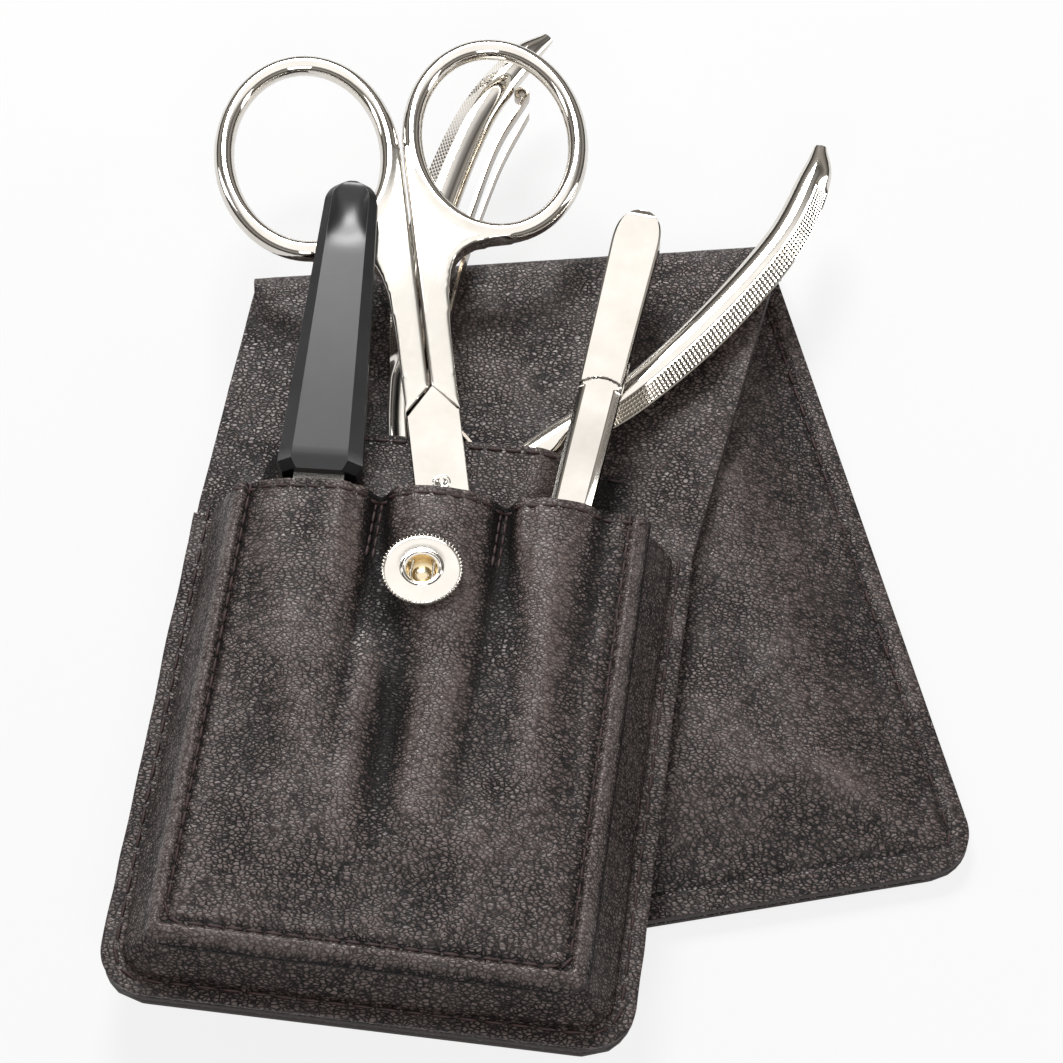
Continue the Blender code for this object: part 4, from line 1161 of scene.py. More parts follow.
@dataclass
class Stitching:
    """Rows of thread made by one Geometry Nodes tree."""

    shop: Workshop
    case: LeatherCase
    thread: float = 0.00023
    seed: int = 5

    @cached_property
    def tree(self) -> bpy.types.NodeTree:
        """A tree that lays short stitches along each edge route of its input.

        Returns:
            The node tree, with inputs for pitch, stitch length and thread radius.
        """
        tree = bpy.data.node_groups.new("stitch_row", "GeometryNodeTree")
        face = tree.interface
        face.new_socket("Geometry", in_out="INPUT", socket_type="NodeSocketGeometry")
        for name in ("Pitch", "Stitch Length", "Thread Radius"):
            face.new_socket(name, in_out="INPUT", socket_type="NodeSocketFloat")
        face.new_socket("Thread", in_out="INPUT", socket_type="NodeSocketMaterial")
        face.new_socket("Seed", in_out="INPUT", socket_type="NodeSocketInt")
        face.new_socket("Geometry", in_out="OUTPUT", socket_type="NodeSocketGeometry")
        nodes, links = tree.nodes, tree.links
        given = nodes.new("NodeGroupInput")
        given_out = given.outputs
        curve = nodes.new("GeometryNodeMeshToCurve")
        links.new(given_out["Geometry"], curve.inputs["Mesh"])
        resample = nodes.new("GeometryNodeResampleCurve")
        resample.mode = "LENGTH"
        links.new(curve.outputs["Curve"], resample.inputs["Curve"])
        links.new(given_out["Pitch"], resample.inputs["Length"])
        tangent = nodes.new("GeometryNodeInputTangent")
        turn = nodes.new("FunctionNodeAlignRotationToVector")
        turn.axis = "X"
        links.new(tangent.outputs["Tangent"], turn.inputs["Vector"])
        jitter = nodes.new("FunctionNodeRandomValue")
        jitter.data_type = "FLOAT_VECTOR"
        jitter.inputs["Min"].default_value = (0.92, 0.9, 0.9)
        jitter.inputs["Max"].default_value = (1.06, 1.1, 1.1)
        links.new(given_out["Seed"], jitter.inputs["Seed"])
        ball = nodes.new("GeometryNodeMeshUVSphere")
        ball.inputs["Segments"].default_value = 10
        ball.inputs["Rings"].default_value = 7
        ball.inputs["Radius"].default_value = 1.0
        half = nodes.new("ShaderNodeMath")
        half.operation = "MULTIPLY"
        half.inputs[1].default_value = 0.5
        links.new(given_out["Stitch Length"], half.inputs[0])
        size = nodes.new("ShaderNodeCombineXYZ")
        links.new(half.outputs[0], size.inputs["X"])
        links.new(given_out["Thread Radius"], size.inputs["Y"])
        links.new(given_out["Thread Radius"], size.inputs["Z"])
        bar = nodes.new("GeometryNodeTransform")
        turned = nodes.new("GeometryNodeTransform")
        turned.inputs["Rotation"].default_value = (0.0, math.pi / 2, 0.0)
        links.new(ball.outputs["Mesh"], turned.inputs["Geometry"])
        links.new(turned.outputs["Geometry"], bar.inputs["Geometry"])
        links.new(size.outputs["Vector"], bar.inputs["Scale"])
        lay = nodes.new("GeometryNodeInstanceOnPoints")
        links.new(resample.outputs["Curve"], lay.inputs["Points"])
        links.new(bar.outputs["Geometry"], lay.inputs["Instance"])
        links.new(turn.outputs["Rotation"], lay.inputs["Rotation"])
        links.new(jitter.outputs["Value"], lay.inputs["Scale"])
        real = nodes.new("GeometryNodeRealizeInstances")
        links.new(lay.outputs["Instances"], real.inputs["Geometry"])
        smooth = nodes.new("GeometryNodeSetShadeSmooth")
        links.new(real.outputs["Geometry"], smooth.inputs["Geometry"])
        dress = nodes.new("GeometryNodeSetMaterial")
        links.new(smooth.outputs["Geometry"], dress.inputs["Geometry"])
        links.new(given_out["Thread"], dress.inputs["Material"])
        result = nodes.new("NodeGroupOutput")
        links.new(dress.outputs["Geometry"], result.inputs["Geometry"])
        return tree

    def row(
        self, name: str, route: Sequence[Vector], pitch: float, length: float,
        closed: bool = False,
    ) -> bpy.types.Object:
        """One row of stitches along a route.

        Args:
            name: Name of the row.
            route: Points on the leather.
            pitch: Distance from stitch to stitch.
            length: Length of one stitch.
            closed: True where the route meets itself.

        Returns:
            The row as a plain mesh.
        """
        mesh = bpy.data.meshes.new(name)
        edges = [(i, i + 1) for i in range(len(route) - 1)]
        if closed:
            edges.append((len(route) - 1, 0))
        mesh.from_pydata([(v.x, v.y - ORIGIN_Y, v.z) for v in route], edges, [])
        made = self.shop.link(name, mesh)
        lay = made.modifiers.new("Stitches", "NODES")
        lay.node_group = self.tree
        values = {
            "Pitch": pitch, "Stitch Length": length, "Thread Radius": self.thread,
            "Thread": self.shop.thread, "Seed": self.seed,
        }
        for item in self.tree.interface.items_tree:
            if item.in_out == "INPUT" and item.name in values:
                lay[item.identifier] = values[item.name]
        return made

    def build(self) -> list[tuple[bpy.types.Object, str]]:
        """Every row, gathered for the case and for the flap.

        Returns:
            Each gathered piece with the body that it rides on.
        """
        case = self.case
        lift = 0.00002
        up = Vector((0.0, 0.0, lift))
        seam = [p + up for p in case.seam_route(case.seam_inset, 0.0008)]
        rows = [self.row("topstitch", seam, 0.0024, 0.0021)]
        rim = []
        for index in range(241):
            spot = case.u_path(
                case.half_width - case.rim_stitch_inset, case.bottom_y + case.rim_stitch_inset,
                case.corner - case.rim_stitch_inset, index / 240,
            )
            rim.append(Vector((spot.x, spot.y, case.back_top + case.clear + 0.00092)))
        rows.append(self.row("rim_stitch", rim, 0.0032, 0.0026))
        hem = []
        for index in range(161):
            x = -0.0262 + 0.0524 * index / 160
            y = case.hem_y(x) - 0.0010
            hem.append(Vector((x, y, case.face_top(x, y) + lift)))
        rows.append(self.row("hem_stitch", hem, 0.0021, 0.0018))
        for index, share in enumerate(case.slot_shares[1:-1]):
            for side in (-1, 1):
                x = case.face_half * share + side * 0.0004
                tack = []
                for step in range(13):
                    y = case.hem_y(x) - 0.0014 - 0.0072 * step / 12
                    tack.append(Vector((x, y, case.face_top(x, y) + lift)))
                rows.append(self.row(f"tack_{index}_{side}", tack, 0.0018, 0.0017))
        inner = []
        for index in range(121):
            x = -0.0215 + 0.0430 * index / 120
            y = 0.0080 + 0.035 * x - 0.0009
            inner.append(Vector((x, y, case.inner_under(x, y) + case.lining)))
        rows.append(self.row("inner_stitch", inner, 0.0025, 0.0020))
        sewn = self.shop.joined("case_stitching", rows)
        flap = []
        inset = case.seam_inset
        for s0, s1, r0, r1, count in (
            (0.0, 0.0, 0.02, 1.0, 180), (0.0, 1.0, 1.0, 1.0, 160), (1.0, 1.0, 1.0, 0.02, 180),
        ):
            for index in range(count):
                part = index / count
                s = s0 + (s1 - s0) * part
                row = r0 + (r1 - r0) * part
                across = min(max(s, inset / 0.071), 1.0 - inset / 0.071)
                along = min(row, 1.0 - inset / 0.094)
                spot, edge = case.flap_spot(across, along)
                flap.append(Vector((spot.x, spot.y, 0.0022 - 0.00020)))
        border = self.row("flap_stitch", self.tidy(flap), 0.0028, 0.0023)
        loose = self.shop.joined("flap_stitching", [border])
        return [(sewn, "case"), (loose, "flap")]

    @staticmethod
    def tidy(route: Sequence[Vector]) -> list[Vector]:
        """Drop points that repeat the one before."""
        kept = [route[0]]
        for point in route[1:]:
            if (point - kept[-1]).length > 0.0003:
                kept.append(point)
        return kept


def carrier(place: Sequence[float], turn: float, tilt: float = 0.0) -> Matrix:
    """The matrix from a tool's own frame, Y along the tool, to the case's.

    Args:
        place: The tool's origin in the case.
        turn: Turn about Z, in degrees.
        tilt: Tilt about the tool's X, in degrees.

    Returns:
        The matrix.
    """
    spin = Matrix.Rotation(math.radians(turn), 4, "Z") @ Matrix.Rotation(math.radians(tilt), 4, "X")
    return Matrix.Translation(place) @ spin


def prism_rings(outline: Sequence[tuple[float, float]], low: Callable, high: Callable) -> list:
    """The two rings of a plate over an outline."""
    return [
        [Vector((x, y, low(y))) for x, y in outline],
        [Vector((x, y, high(y))) for x, y in outline],
    ]


def lathe_rings(
    profile: Sequence[tuple[float, float]], centre: Sequence[float], count: int,
) -> list[list[Vector]]:
    """Rings of a turned piece from its radii and heights."""
    return [
        [
            Vector((
                centre[0] + radius * math.cos(2 * math.pi * i / count),
                centre[1] + radius * math.sin(2 * math.pi * i / count),
                height,
            ))
            for i in range(count)
        ]
        for radius, height in profile
    ]


@dataclass
class SnapSocket:
    """The ring half of the snap, knurled round its rim."""

    shop: Workshop
    case: LeatherCase
    x: float = -0.0004
    y: float = -0.0172
    radius: float = 0.0052
    bore: float = 0.0021
    teeth: int = 60

    def knurl_tree(self) -> bpy.types.NodeTree:
        """A tree that sets small teeth round a circle.

        Returns:
            The node tree.
        """
        tree = bpy.data.node_groups.new("knurled_rim", "GeometryNodeTree")
        face = tree.interface
        face.new_socket("Geometry", in_out="INPUT", socket_type="NodeSocketGeometry")
        face.new_socket("Teeth", in_out="INPUT", socket_type="NodeSocketInt")
        for name in ("Radius", "Tooth Width", "Tooth Depth", "Tooth Height"):
            face.new_socket(name, in_out="INPUT", socket_type="NodeSocketFloat")
        face.new_socket("Place", in_out="INPUT", socket_type="NodeSocketVector")
        face.new_socket("Metal", in_out="INPUT", socket_type="NodeSocketMaterial")
        face.new_socket("Geometry", in_out="OUTPUT", socket_type="NodeSocketGeometry")
        nodes, links = tree.nodes, tree.links
        given = nodes.new("NodeGroupInput").outputs
        circle = nodes.new("GeometryNodeMeshCircle")
        links.new(given["Teeth"], circle.inputs["Vertices"])
        links.new(given["Radius"], circle.inputs["Radius"])
        size = nodes.new("ShaderNodeCombineXYZ")
        links.new(given["Tooth Depth"], size.inputs["X"])
        links.new(given["Tooth Width"], size.inputs["Y"])
        links.new(given["Tooth Height"], size.inputs["Z"])
        tooth = nodes.new("GeometryNodeMeshUVSphere")
        tooth.inputs["Segments"].default_value = 8
        tooth.inputs["Rings"].default_value = 5
        tooth.inputs["Radius"].default_value = 1.0
        shaped = nodes.new("GeometryNodeTransform")
        links.new(tooth.outputs["Mesh"], shaped.inputs["Geometry"])
        links.new(size.outputs["Vector"], shaped.inputs["Scale"])
        position = nodes.new("GeometryNodeInputPosition")
        turn = nodes.new("FunctionNodeAlignRotationToVector")
        turn.axis = "X"
        links.new(position.outputs["Position"], turn.inputs["Vector"])
        lay = nodes.new("GeometryNodeInstanceOnPoints")
        links.new(circle.outputs["Mesh"], lay.inputs["Points"])
        links.new(shaped.outputs["Geometry"], lay.inputs["Instance"])
        links.new(turn.outputs["Rotation"], lay.inputs["Rotation"])
        real = nodes.new("GeometryNodeRealizeInstances")
        links.new(lay.outputs["Instances"], real.inputs["Geometry"])
        placed = nodes.new("GeometryNodeTransform")
        links.new(real.outputs["Geometry"], placed.inputs["Geometry"])
        links.new(given["Place"], placed.inputs["Translation"])
        smooth = nodes.new("GeometryNodeSetShadeSmooth")
        links.new(placed.outputs["Geometry"], smooth.inputs["Geometry"])
        dress = nodes.new("GeometryNodeSetMaterial")
        links.new(smooth.outputs["Geometry"], dress.inputs["Geometry"])
        links.new(given["Metal"], dress.inputs["Material"])
        result = nodes.new("NodeGroupOutput")
        links.new(dress.outputs["Geometry"], result.inputs["Geometry"])
        return tree

    def build(self) -> list[tuple[bpy.types.Object, str]]:
        """The socket's shell, eyelet and spring wires.

        Returns:
            Each piece with its body.
        """
        under = self.case.face_under(self.x, self.y)
        top = under + 0.0022 + 0.0003
        centre = (self.x, self.y)
        bead = 0.0024
        outer = []
        for step in range(9):
            angle = math.pi * step / 8
            outer.append((
                (self.bore + bead) / 2
                + (bead - self.bore) / 2 * math.cos(math.pi - angle) + 0.0002,
                top + 0.00078 + 0.00016 * math.sin(angle),
            ))
        profile = [(self.bore, top - 0.0004), (self.bore, top + 0.00074), *outer]
        profile += [
            (0.00268, top + 0.00072), (0.00290, top + 0.00068), (0.00400, top + 0.00068),
            (0.00460, top + 0.00068), (0.00484, top + 0.00066), (0.00500, top + 0.00058),
            (0.00512, top + 0.00042), (0.00512, top + 0.00010), (0.00500, top),
            (0.0028, top), (0.0028, under + 0.0003), (0.0025, under + 0.0003),
            (0.0025, top - 0.0004),
        ]
        shell = self.shop.loft(
            "snap_ring", lathe_rings(profile, centre, 96), self.shop.nickel,
            closed=True, angle=50.0,
        )
        knurl = self.shop.link("snap_knurl", bpy.data.meshes.new("snap_knurl"))
        lay = knurl.modifiers.new("Knurl", "NODES")
        tree = self.knurl_tree()
        lay.node_group = tree
        values = {
            "Teeth": self.teeth, "Radius": 0.00502, "Tooth Width": 0.00015,
            "Tooth Depth": 0.00030, "Tooth Height": 0.00040,
            "Place": (self.x, self.y - ORIGIN_Y, top + 0.00042), "Metal": self.shop.nickel,
        }
        for item in tree.interface.items_tree:
            if item.in_out == "INPUT" and item.name in values:
                lay[item.identifier] = values[item.name]
        socket = self.shop.joined("snap_socket", [shell, knurl])
        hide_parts("snap_socket_shell")
        cup = [
            (0.0, top - 0.00035), (0.0007, top - 0.00040), (0.0011, top - 0.00060),
            (0.0013, top - 0.00085), (0.0018, top - 0.00080), (0.00200, top - 0.0004),
            (0.00203, top + 0.00066), (0.00209, top + 0.00066), (0.00209, top - 0.0010),
            (0.0, top - 0.0011),
        ]
        lining = self.shop.loft("socket_cup", lathe_rings(cup, centre, 48), self.shop.brass)
        wires = []
        for side in (-1.0, 1.0):
            rings = []
            for step in range(13):
                share = step / 12 - 0.5
                bow = 1.0 - (2.0 * share) ** 2
                spot = Vector((
                    self.x + side * (0.00132 + 0.00008 * bow), self.y + 0.0034 * share,
                    top - 0.00005,
                ))
                rings.append([
                    spot + Vector((
                        0.00018 * math.cos(2 * math.pi * i / 12), 0.0,
                        0.00018 * math.sin(2 * math.pi * i / 12),
                    )) for i in range(12)
                ])
            name = "socket_wire_" + ("left" if side < 0 else "right")
            wire = self.shop.loft(name, rings, self.shop.nickel)
            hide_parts("snap_" + name)
            wires.append((wire, "case"))
        return [(socket, "case"), (lining, "case"), *wires]


@dataclass
class FileTool:
    """The nail file's handle with its inset facet and thumb dish."""

    shop: Workshop
    length: float = 0.0460
    width: float = 0.0113
    top_width: float = 0.0072
    depth: float = 0.0050
    top_depth: float = 0.0034

    def build(self) -> list[tuple[bpy.types.Object, str]]:
        """Loft the handle along its length.

        Returns:
            The handle with its body.
        """
        frame_of = carrier((-0.016303, -0.0020, 0.0176), 3.3, 3.0)
        slim = self.top_width / 2
        round_y = self.length - slim
        rings = []
        stations = [0.0, 0.0004, 0.0012, 0.0020]
        stations += [0.0020 + (round_y - 0.0020) * i / 40 for i in range(1, 41)]
        stations += [round_y + slim * math.sin(math.pi / 2 * i / 20) for i in range(1, 21)]
        for y in stations:
            share = y / self.length
            wide = (self.width + (self.top_width - self.width) * min(y / round_y, 1.0)) / 2
            end = 1.0
            if y > round_y:
                end = math.sqrt(max(1.0 - ((y - round_y) / slim) ** 2, 0.0016))
                wide = slim * end
            mouth = min(0.86 + 0.14 * y / 0.0011, 1.0)
            wide *= mouth
            half = (self.depth + (self.top_depth - self.depth) * share) / 2
            inset = min((0.0019 - 0.0009 * share), wide * 0.62)
            drop = 0.0014 - 0.0006 * share
            lip = 0.0007 * (1.0 - smoothstep(y / 0.0016)) + 0.0011 * (1.0 - end) ** 2
            top = half - lip
            low = -half + 0.5 * lip
            flat = wide - inset
            dish = smoothstep((y - 0.0345) / 0.0062)
            dish *= smoothstep((self.length - 0.0003 - y) / 0.0040)
            section = []
            for i in range(17):
                x = flat * (1.0 - 2.0 * i / 16)
                dent = 0.0009 * dish * (1.0 - (x / max(flat, TINY)) ** 2) ** 0.8
                section.append((x, top - dent))
            section.append((-wide, top - drop))
            section.append((-wide, low + 0.0009))
            section.append((-wide + min(0.0009, wide * 0.5), low))
            section.append((wide - min(0.0009, wide * 0.5), low))
            section.append((wide, low + 0.0009))
            section.append((wide, top - drop))
            rings.append([frame_of @ Vector((x, y, z)) for x, z in section])
        handle = self.shop.loft("file_grip", rings, self.shop.plastic, angle=24.0)
        soft = handle.modifiers.new("Soft edge", "BEVEL")
        soft.width = 0.00022
        soft.segments = 3
        soft.limit_method = "ANGLE"
        soft.angle_limit = math.radians(24.0)
        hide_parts("file_handle")
        return [(handle, "file")]


@dataclass
class Scissors:
    """Nail scissors: two looped halves that lap at the screw."""

    shop: Workshop
    gap: float = 0.00015
    wire: float = 0.00145
    ring_half_width: float = 0.0115
    ring_half_length: float = 0.0163
    ring_y: float = 0.0564
    apex: float = 0.0153
    shoulder: float = 0.0112
    half_depth: float = 0.00135
    voxel: float = 0.00030

    def __post_init__(self) -> None:
        """Place the tool."""
        self.frame_of = carrier((-0.0004, -0.0007, 0.0159), 14.0)

    def loop_point(self, side: float, angle: float) -> Vector:
        """A point of the loop's centre line."""
        ring_x = self.gap + self.wire + self.ring_half_width
        return Vector((
            side * ring_x + self.ring_half_width * math.cos(angle),
            self.ring_y + self.ring_half_length * math.sin(angle), 0.0,
        ))

    def loop(self, side: float) -> bpy.types.Object:
        """The finger loop's wire."""
        rings = []
        count = 96
        for index in range(count):
            angle = 2 * math.pi * index / count
            spot = self.loop_point(side, angle)
            after = self.loop_point(side, angle + 0.01)
            along = (after - spot).normalized()
            aside = Vector((along.y, -along.x, 0.0))
            rings.append([
                spot + aside * self.wire * math.cos(2 * math.pi * i / 20)
                + Vector((0.0, 0.0, self.wire * math.sin(2 * math.pi * i / 20)))
                for i in range(20)
            ])
        return self.local("loop", rings, True)

    def local(self, name: str, rings: list, closed: bool = False) -> bpy.types.Object:
        """A loft in the tool's own frame."""
        shifted = [[Vector((p.x, p.y + ORIGIN_Y, p.z)) for p in ring] for ring in rings]
        return self.shop.loft(name, shifted, self.shop.nickel, closed=closed)

    def shank_outline(self, side: float) -> list[tuple[float, float]]:
        """The flat shank and web, up to the loop's centre line."""
        points = [(self.gap, self.apex + self.gap), (self.gap, 0.0560), (0.0016, 0.0560)]
        for step in range(13):
            angle = math.pi * (1.0 + 0.60 * step / 12)
            spot = self.loop_point(1.0, angle)
            points.append((spot.x, spot.y))
        points += [
            (0.0135, 0.0390), (0.0105, 0.0388), (0.0082, 0.0384), (0.0065, 0.0374),
            (0.0054, 0.0360), (0.0047, 0.0340), (0.0041, 0.0310), (0.0037, 0.0240),
            (0.0036, 0.0170), (0.0036, self.shoulder + self.gap),
        ]
        return [(side * x, y) for x, y in points]

    def half(self, name: str, side: float, node: str) -> bpy.types.Object:
        """One half: shank, web and loop grown together, and its blade.

        Args:
            name: Name of the piece.
            side: 1 for the half whose blade is in front.
            node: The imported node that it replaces.

        Returns:
            The piece.
        """
        plate = self.local(name + "_plate", prism_rings(
            self.shank_outline(side), lambda y: -self.half_depth + 0.0001,
            lambda y: self.half_depth - 0.0001,
        ))
        grown = self.shop.joined(name + "_body", [plate, self.loop(side)])
        remesh = grown.modifiers.new("Grow together", "REMESH")
        remesh.mode = "VOXEL"
        remesh.voxel_size = self.voxel
        relax = grown.modifiers.new("Relax", "SMOOTH")
        relax.factor = 0.5
        relax.iterations = 5
        self.shop.baked(grown)
        grown.data.materials.clear()
        grown.data.materials.append(self.shop.nickel)
        grown.data.shade_smooth()
        grown.data.transform(Matrix.Translation((0.0, -ORIGIN_Y, 0.0)) @ self.frame_of)
        outline = [
            (-self.gap, self.apex - 2 * self.gap), (-0.0035, self.shoulder - 2 * self.gap),
            (-0.0035, -0.00875), (0.0, -0.0350), (0.0012, -0.0350), (0.0035, -0.00875),
            (0.0035, self.shoulder + 0.0003), (0.0033, self.shoulder + 0.0003),
            (2 * self.gap, self.apex + 0.0003),
        ]
        outline = [(side * x, y) for x, y in outline]

        def back(y: float) -> float:
            share = (self.apex - y) / (self.apex + 0.0350)
            return self.half_depth - 0.00020 + (0.00075 - self.half_depth) * share

        if side > 0:
            rings = prism_rings(outline, lambda y: self.gap, back)
        else:
            rings = prism_rings(outline, lambda y: -back(y), lambda y: -self.gap)
        blade = self.shop.loft(
            name + "_blade", [[self.frame_of @ p for p in ring] for ring in rings],
            self.shop.nickel,
        )
        soft = blade.modifiers.new("Edges", "BEVEL")
        soft.width = 0.00030
        soft.segments = 1
        soft.limit_method = "ANGLE"
        self.shop.baked(blade)
        self.shop.smooth(blade.data, 12.0)
        made = self.shop.joined(name, [grown, blade])
        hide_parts(node)
        return made

    def build(self) -> list[tuple[bpy.types.Object, str]]:
        """Both halves and the dished screw.

        Returns:
            Each piece with its body.
        """
        front = self.half("scissors_right_loop", 1.0, "scissors_front_half")
        rear = self.half("scissors_left_loop", -1.0, "scissors_rear_half")
        centre = self.frame_of.to_translation()
        top = centre.z + self.half_depth + 0.00012
        low = centre.z - self.half_depth
        profile = [
            (0.0, low), (0.0011, low), (0.0012, low + 0.0001), (0.0012, top - 0.0001),
            (0.00112, top - 0.00002), (0.00100, top), (0.00080, top - 0.00002),
            (0.00062, top - 0.00012), (0.00048, top - 0.00026), (0.0, top - 0.00032),
        ]
        screw = self.shop.loft(
            "scissors_rivet", lathe_rings(profile, centre, 48), self.shop.nickel, angle=50.0,
        )
        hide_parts("scissors_screw")
        return [(front, "scissors"), (rear, "scissors_rear"), (screw, "scissors")]


@dataclass
class Tweezers:
    """Two sprung arms joined at the rounded head."""

    shop: Workshop
    length: float = 0.0900
    head: float = 0.0290
    metal: float = 0.0013
    step_height: float = 0.00032

    def half_width(self, down: float) -> float:
        """Half the arm's width at a distance from its joined end."""
        if down < 0.0060:
            share = math.sqrt(max(1.0 - (1.0 - down / 0.0060) ** 2.6, 0.0))
            return (0.0004 + (0.0065 - 0.0004) * share) / 2
        if down < self.head:
            return (0.0065 - 0.0009 * (down - 0.0060) / (self.head - 0.0060)) / 2
        share = (down - self.head) / (self.length - self.head)
        return (0.0056 - 0.0034 * share ** 2) / 2

    def spread(self, down: float) -> float:
        """Distance of an arm's inner face from the middle plane."""
        opened = smoothstep((down - self.head) / 0.021)
        closing = (down - 0.0500) / (self.length - 0.0500)
        head = 0.00015 + 0.0003 * min(down / self.head, 1.0)
        return head + (0.0012 - head) * opened + 0.0002 * smoothstep(closing)

    def build(self) -> list[tuple[bpy.types.Object, str]]:
        """Loft both arms with their step and bevelled shafts.

        Returns:
            Each arm with its body.
        """
        frame_of = carrier((0.0207, 0.0462, 0.0169), -4.8, 2.0)
        built = []
        for name, side, body, node in (
            ("tweezers_upper_arm", 1.0, "tweezers_front", "tweezers_front_arm"),
            ("tweezers_lower_arm", -1.0, "tweezers", "tweezers_rear_arm"),
        ):
            rings = []
            stations = [0.0060 * (1.0 - math.cos(math.pi / 2 * i / 24)) for i in range(25)]
            stations += [0.0060 + 0.0210 * i / 16 for i in range(1, 17)]
            stations += [0.0270 + 0.0040 * i / 32 for i in range(1, 33)]
            stations += [0.0310 + 0.0590 * i / 40 for i in range(1, 41)]
            for down in stations:
                wide = self.half_width(down)
                inner = self.spread(down)
                shaft = smoothstep((down - self.head) / 0.0006)
                section = []
                for i in range(25):
                    x = wide * (1.0 - 2.0 * i / 24)
                    share = abs(x) / wide
                    line = self.head - 0.0011 + 0.0011 * share ** 2 - 0.0002 * x / wide
                    below = smoothstep((down - line) / 0.00022)
                    lift = self.metal - self.step_height * below
                    bevel = max(share - 0.70, 0.0) / 0.30
                    lift -= 0.00062 * bevel * shaft
                    lift -= 0.00016 * (1.0 - shaft) * max(share - 0.93, 0.0) / 0.07
                    lift -= 0.00025 * (1.0 - smoothstep(down / 0.0010))
                    section.append((x, inner + max(lift, 0.0003)))
                section += [(-wide * 0.985, inner), (wide * 0.985, inner)]
                rings.append([frame_of @ Vector((x, -down, side * z)) for x, z in section])
            arm = self.shop.loft(name, rings, self.shop.nickel, angle=17.0)
            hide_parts(node)
            built.append((arm, body))
        return built


@dataclass
class Nipper:
    """The nail nipper: two lapped levers with knurled grips and crossed leaf springs."""

    shop: Workshop
    gap: float = 0.00015
    joint_radius: float = 0.0055
    joint_half: float = 0.0025
    stations: tuple[tuple[float, float, float], ...] = (
        (0.0042, 0.0032, 0.0022), (0.0120, 0.0080, 0.0023), (0.0207, 0.0122, 0.0025),
        (0.0305, 0.0170, 0.0027), (0.0460, 0.0215, 0.0030), (0.0625, 0.0241, 0.0028),
        (0.0744, 0.0233, 0.0023), (0.0802, 0.0216, 0.0009),
    )
    right_spring: tuple[tuple[float, float], ...] = (
        (0.0082, 0.0023), (0.0100, 0.0034), (0.0117, 0.0031), (0.0130, 0.0012),
        (0.0150, -0.0026), (0.0192, -0.0064), (0.0260, -0.0094), (0.0330, -0.0118),
        (0.0400, -0.0137), (0.0480, -0.0154), (0.0570, -0.0170), (0.0662, -0.0177),
    )
    left_spring: tuple[tuple[float, float], ...] = (
        (0.0125, -0.0051), (0.0165, -0.0070), (0.0240, -0.0102), (0.0340, -0.0138),
        (0.0460, -0.0163), (0.0590, -0.0189), (0.0690, -0.0192),
    )

    def __post_init__(self) -> None:
        """Place the tool."""
        self.frame_of = carrier((-0.0040, -0.0020, 0.0106), -20.0)

    @cached_property
    def knurl_tree(self) -> bpy.types.NodeTree:
        """A tree that raises a blunt pyramid on every face of a grid.

        Returns:
            The node tree.
        """
        tree = bpy.data.node_groups.new("knurled_grip", "GeometryNodeTree")
        face = tree.interface
        face.new_socket("Geometry", in_out="INPUT", socket_type="NodeSocketGeometry")
        for name in ("Height", "Top Share"):
            face.new_socket(name, in_out="INPUT", socket_type="NodeSocketFloat")
        face.new_socket("Metal", in_out="INPUT", socket_type="NodeSocketMaterial")
        face.new_socket("Geometry", in_out="OUTPUT", socket_type="NodeSocketGeometry")
        nodes, links = tree.nodes, tree.links
        given = nodes.new("NodeGroupInput").outputs
        raise_up = nodes.new("GeometryNodeExtrudeMesh")
        raise_up.mode = "FACES"
        raise_up.inputs["Individual"].default_value = True
        links.new(given["Geometry"], raise_up.inputs["Mesh"])
        links.new(given["Height"], raise_up.inputs["Offset Scale"])
        narrow = nodes.new("GeometryNodeScaleElements")
        narrow.domain = "FACE"
        links.new(raise_up.outputs["Mesh"], narrow.inputs["Geometry"])
        links.new(raise_up.outputs["Top"], narrow.inputs["Selection"])
        links.new(given["Top Share"], narrow.inputs["Scale"])
        real = nodes.new("GeometryNodeRealizeInstances")
        links.new(narrow.outputs["Geometry"], real.inputs["Geometry"])
        dress = nodes.new("GeometryNodeSetMaterial")
        links.new(real.outputs["Geometry"], dress.inputs["Geometry"])
        links.new(given["Metal"], dress.inputs["Material"])
        result = nodes.new("NodeGroupOutput")
        links.new(dress.outputs["Geometry"], result.inputs["Geometry"])
        return tree

    def route(self, side: float, steps: int) -> tuple[list[Vector], list[float]]:
        """The handle's centre line and half widths."""
        line = catmull([Vector((side * w, u, 0.0)) for u, w, r in self.stations], steps)
        widths = [v.x for v in catmull([Vector((r, 0.0, 0.0)) for u, w, r in self.stations], steps)]
        return line, widths

    def section(self, wide: float, grip: float) -> list[tuple[float, float]]:
        """The handle's section: rounded inside, a straight facet on its outer shoulder.

        Args:
            wide: Half the width.
            grip: 1 where the outer facet is knurled, 0 where the handle is plain.

        Returns:
            Points across and up, from the ridge round to the facet's foot.
        """
        deep = wide * 0.667
        ridge = (wide * 0.22, deep * 0.94)
        foot = (wide * 0.98, -deep * 0.10)
        points = []
        for i in range(11):
            share = i / 10
            points.append((
                foot[0] + (ridge[0] - foot[0]) * share, foot[1] + (ridge[1] - foot[1]) * share,
            ))
        start = math.atan2(ridge[1] / deep, ridge[0] / wide)
        end = 2 * math.pi + math.atan2(foot[1] / deep, foot[0] / wide)
        for i in range(1, 25):
            angle = start + (end - start) * i / 25
            flat = 0.90 + 0.10 * abs(math.sin(angle)) ** 0.5
            points.append((wide * math.cos(angle), deep * flat * math.sin(angle)))
        plain = []
        for x, z in points:
            angle = math.atan2(z / deep, x / wide)
            plain.append((wide * math.cos(angle), deep * math.sin(angle)))
        return [
            (p[0] * grip + q[0] * (1 - grip), p[1] * grip + q[1] * (1 - grip))
            for p, q in zip(points, plain)
        ]

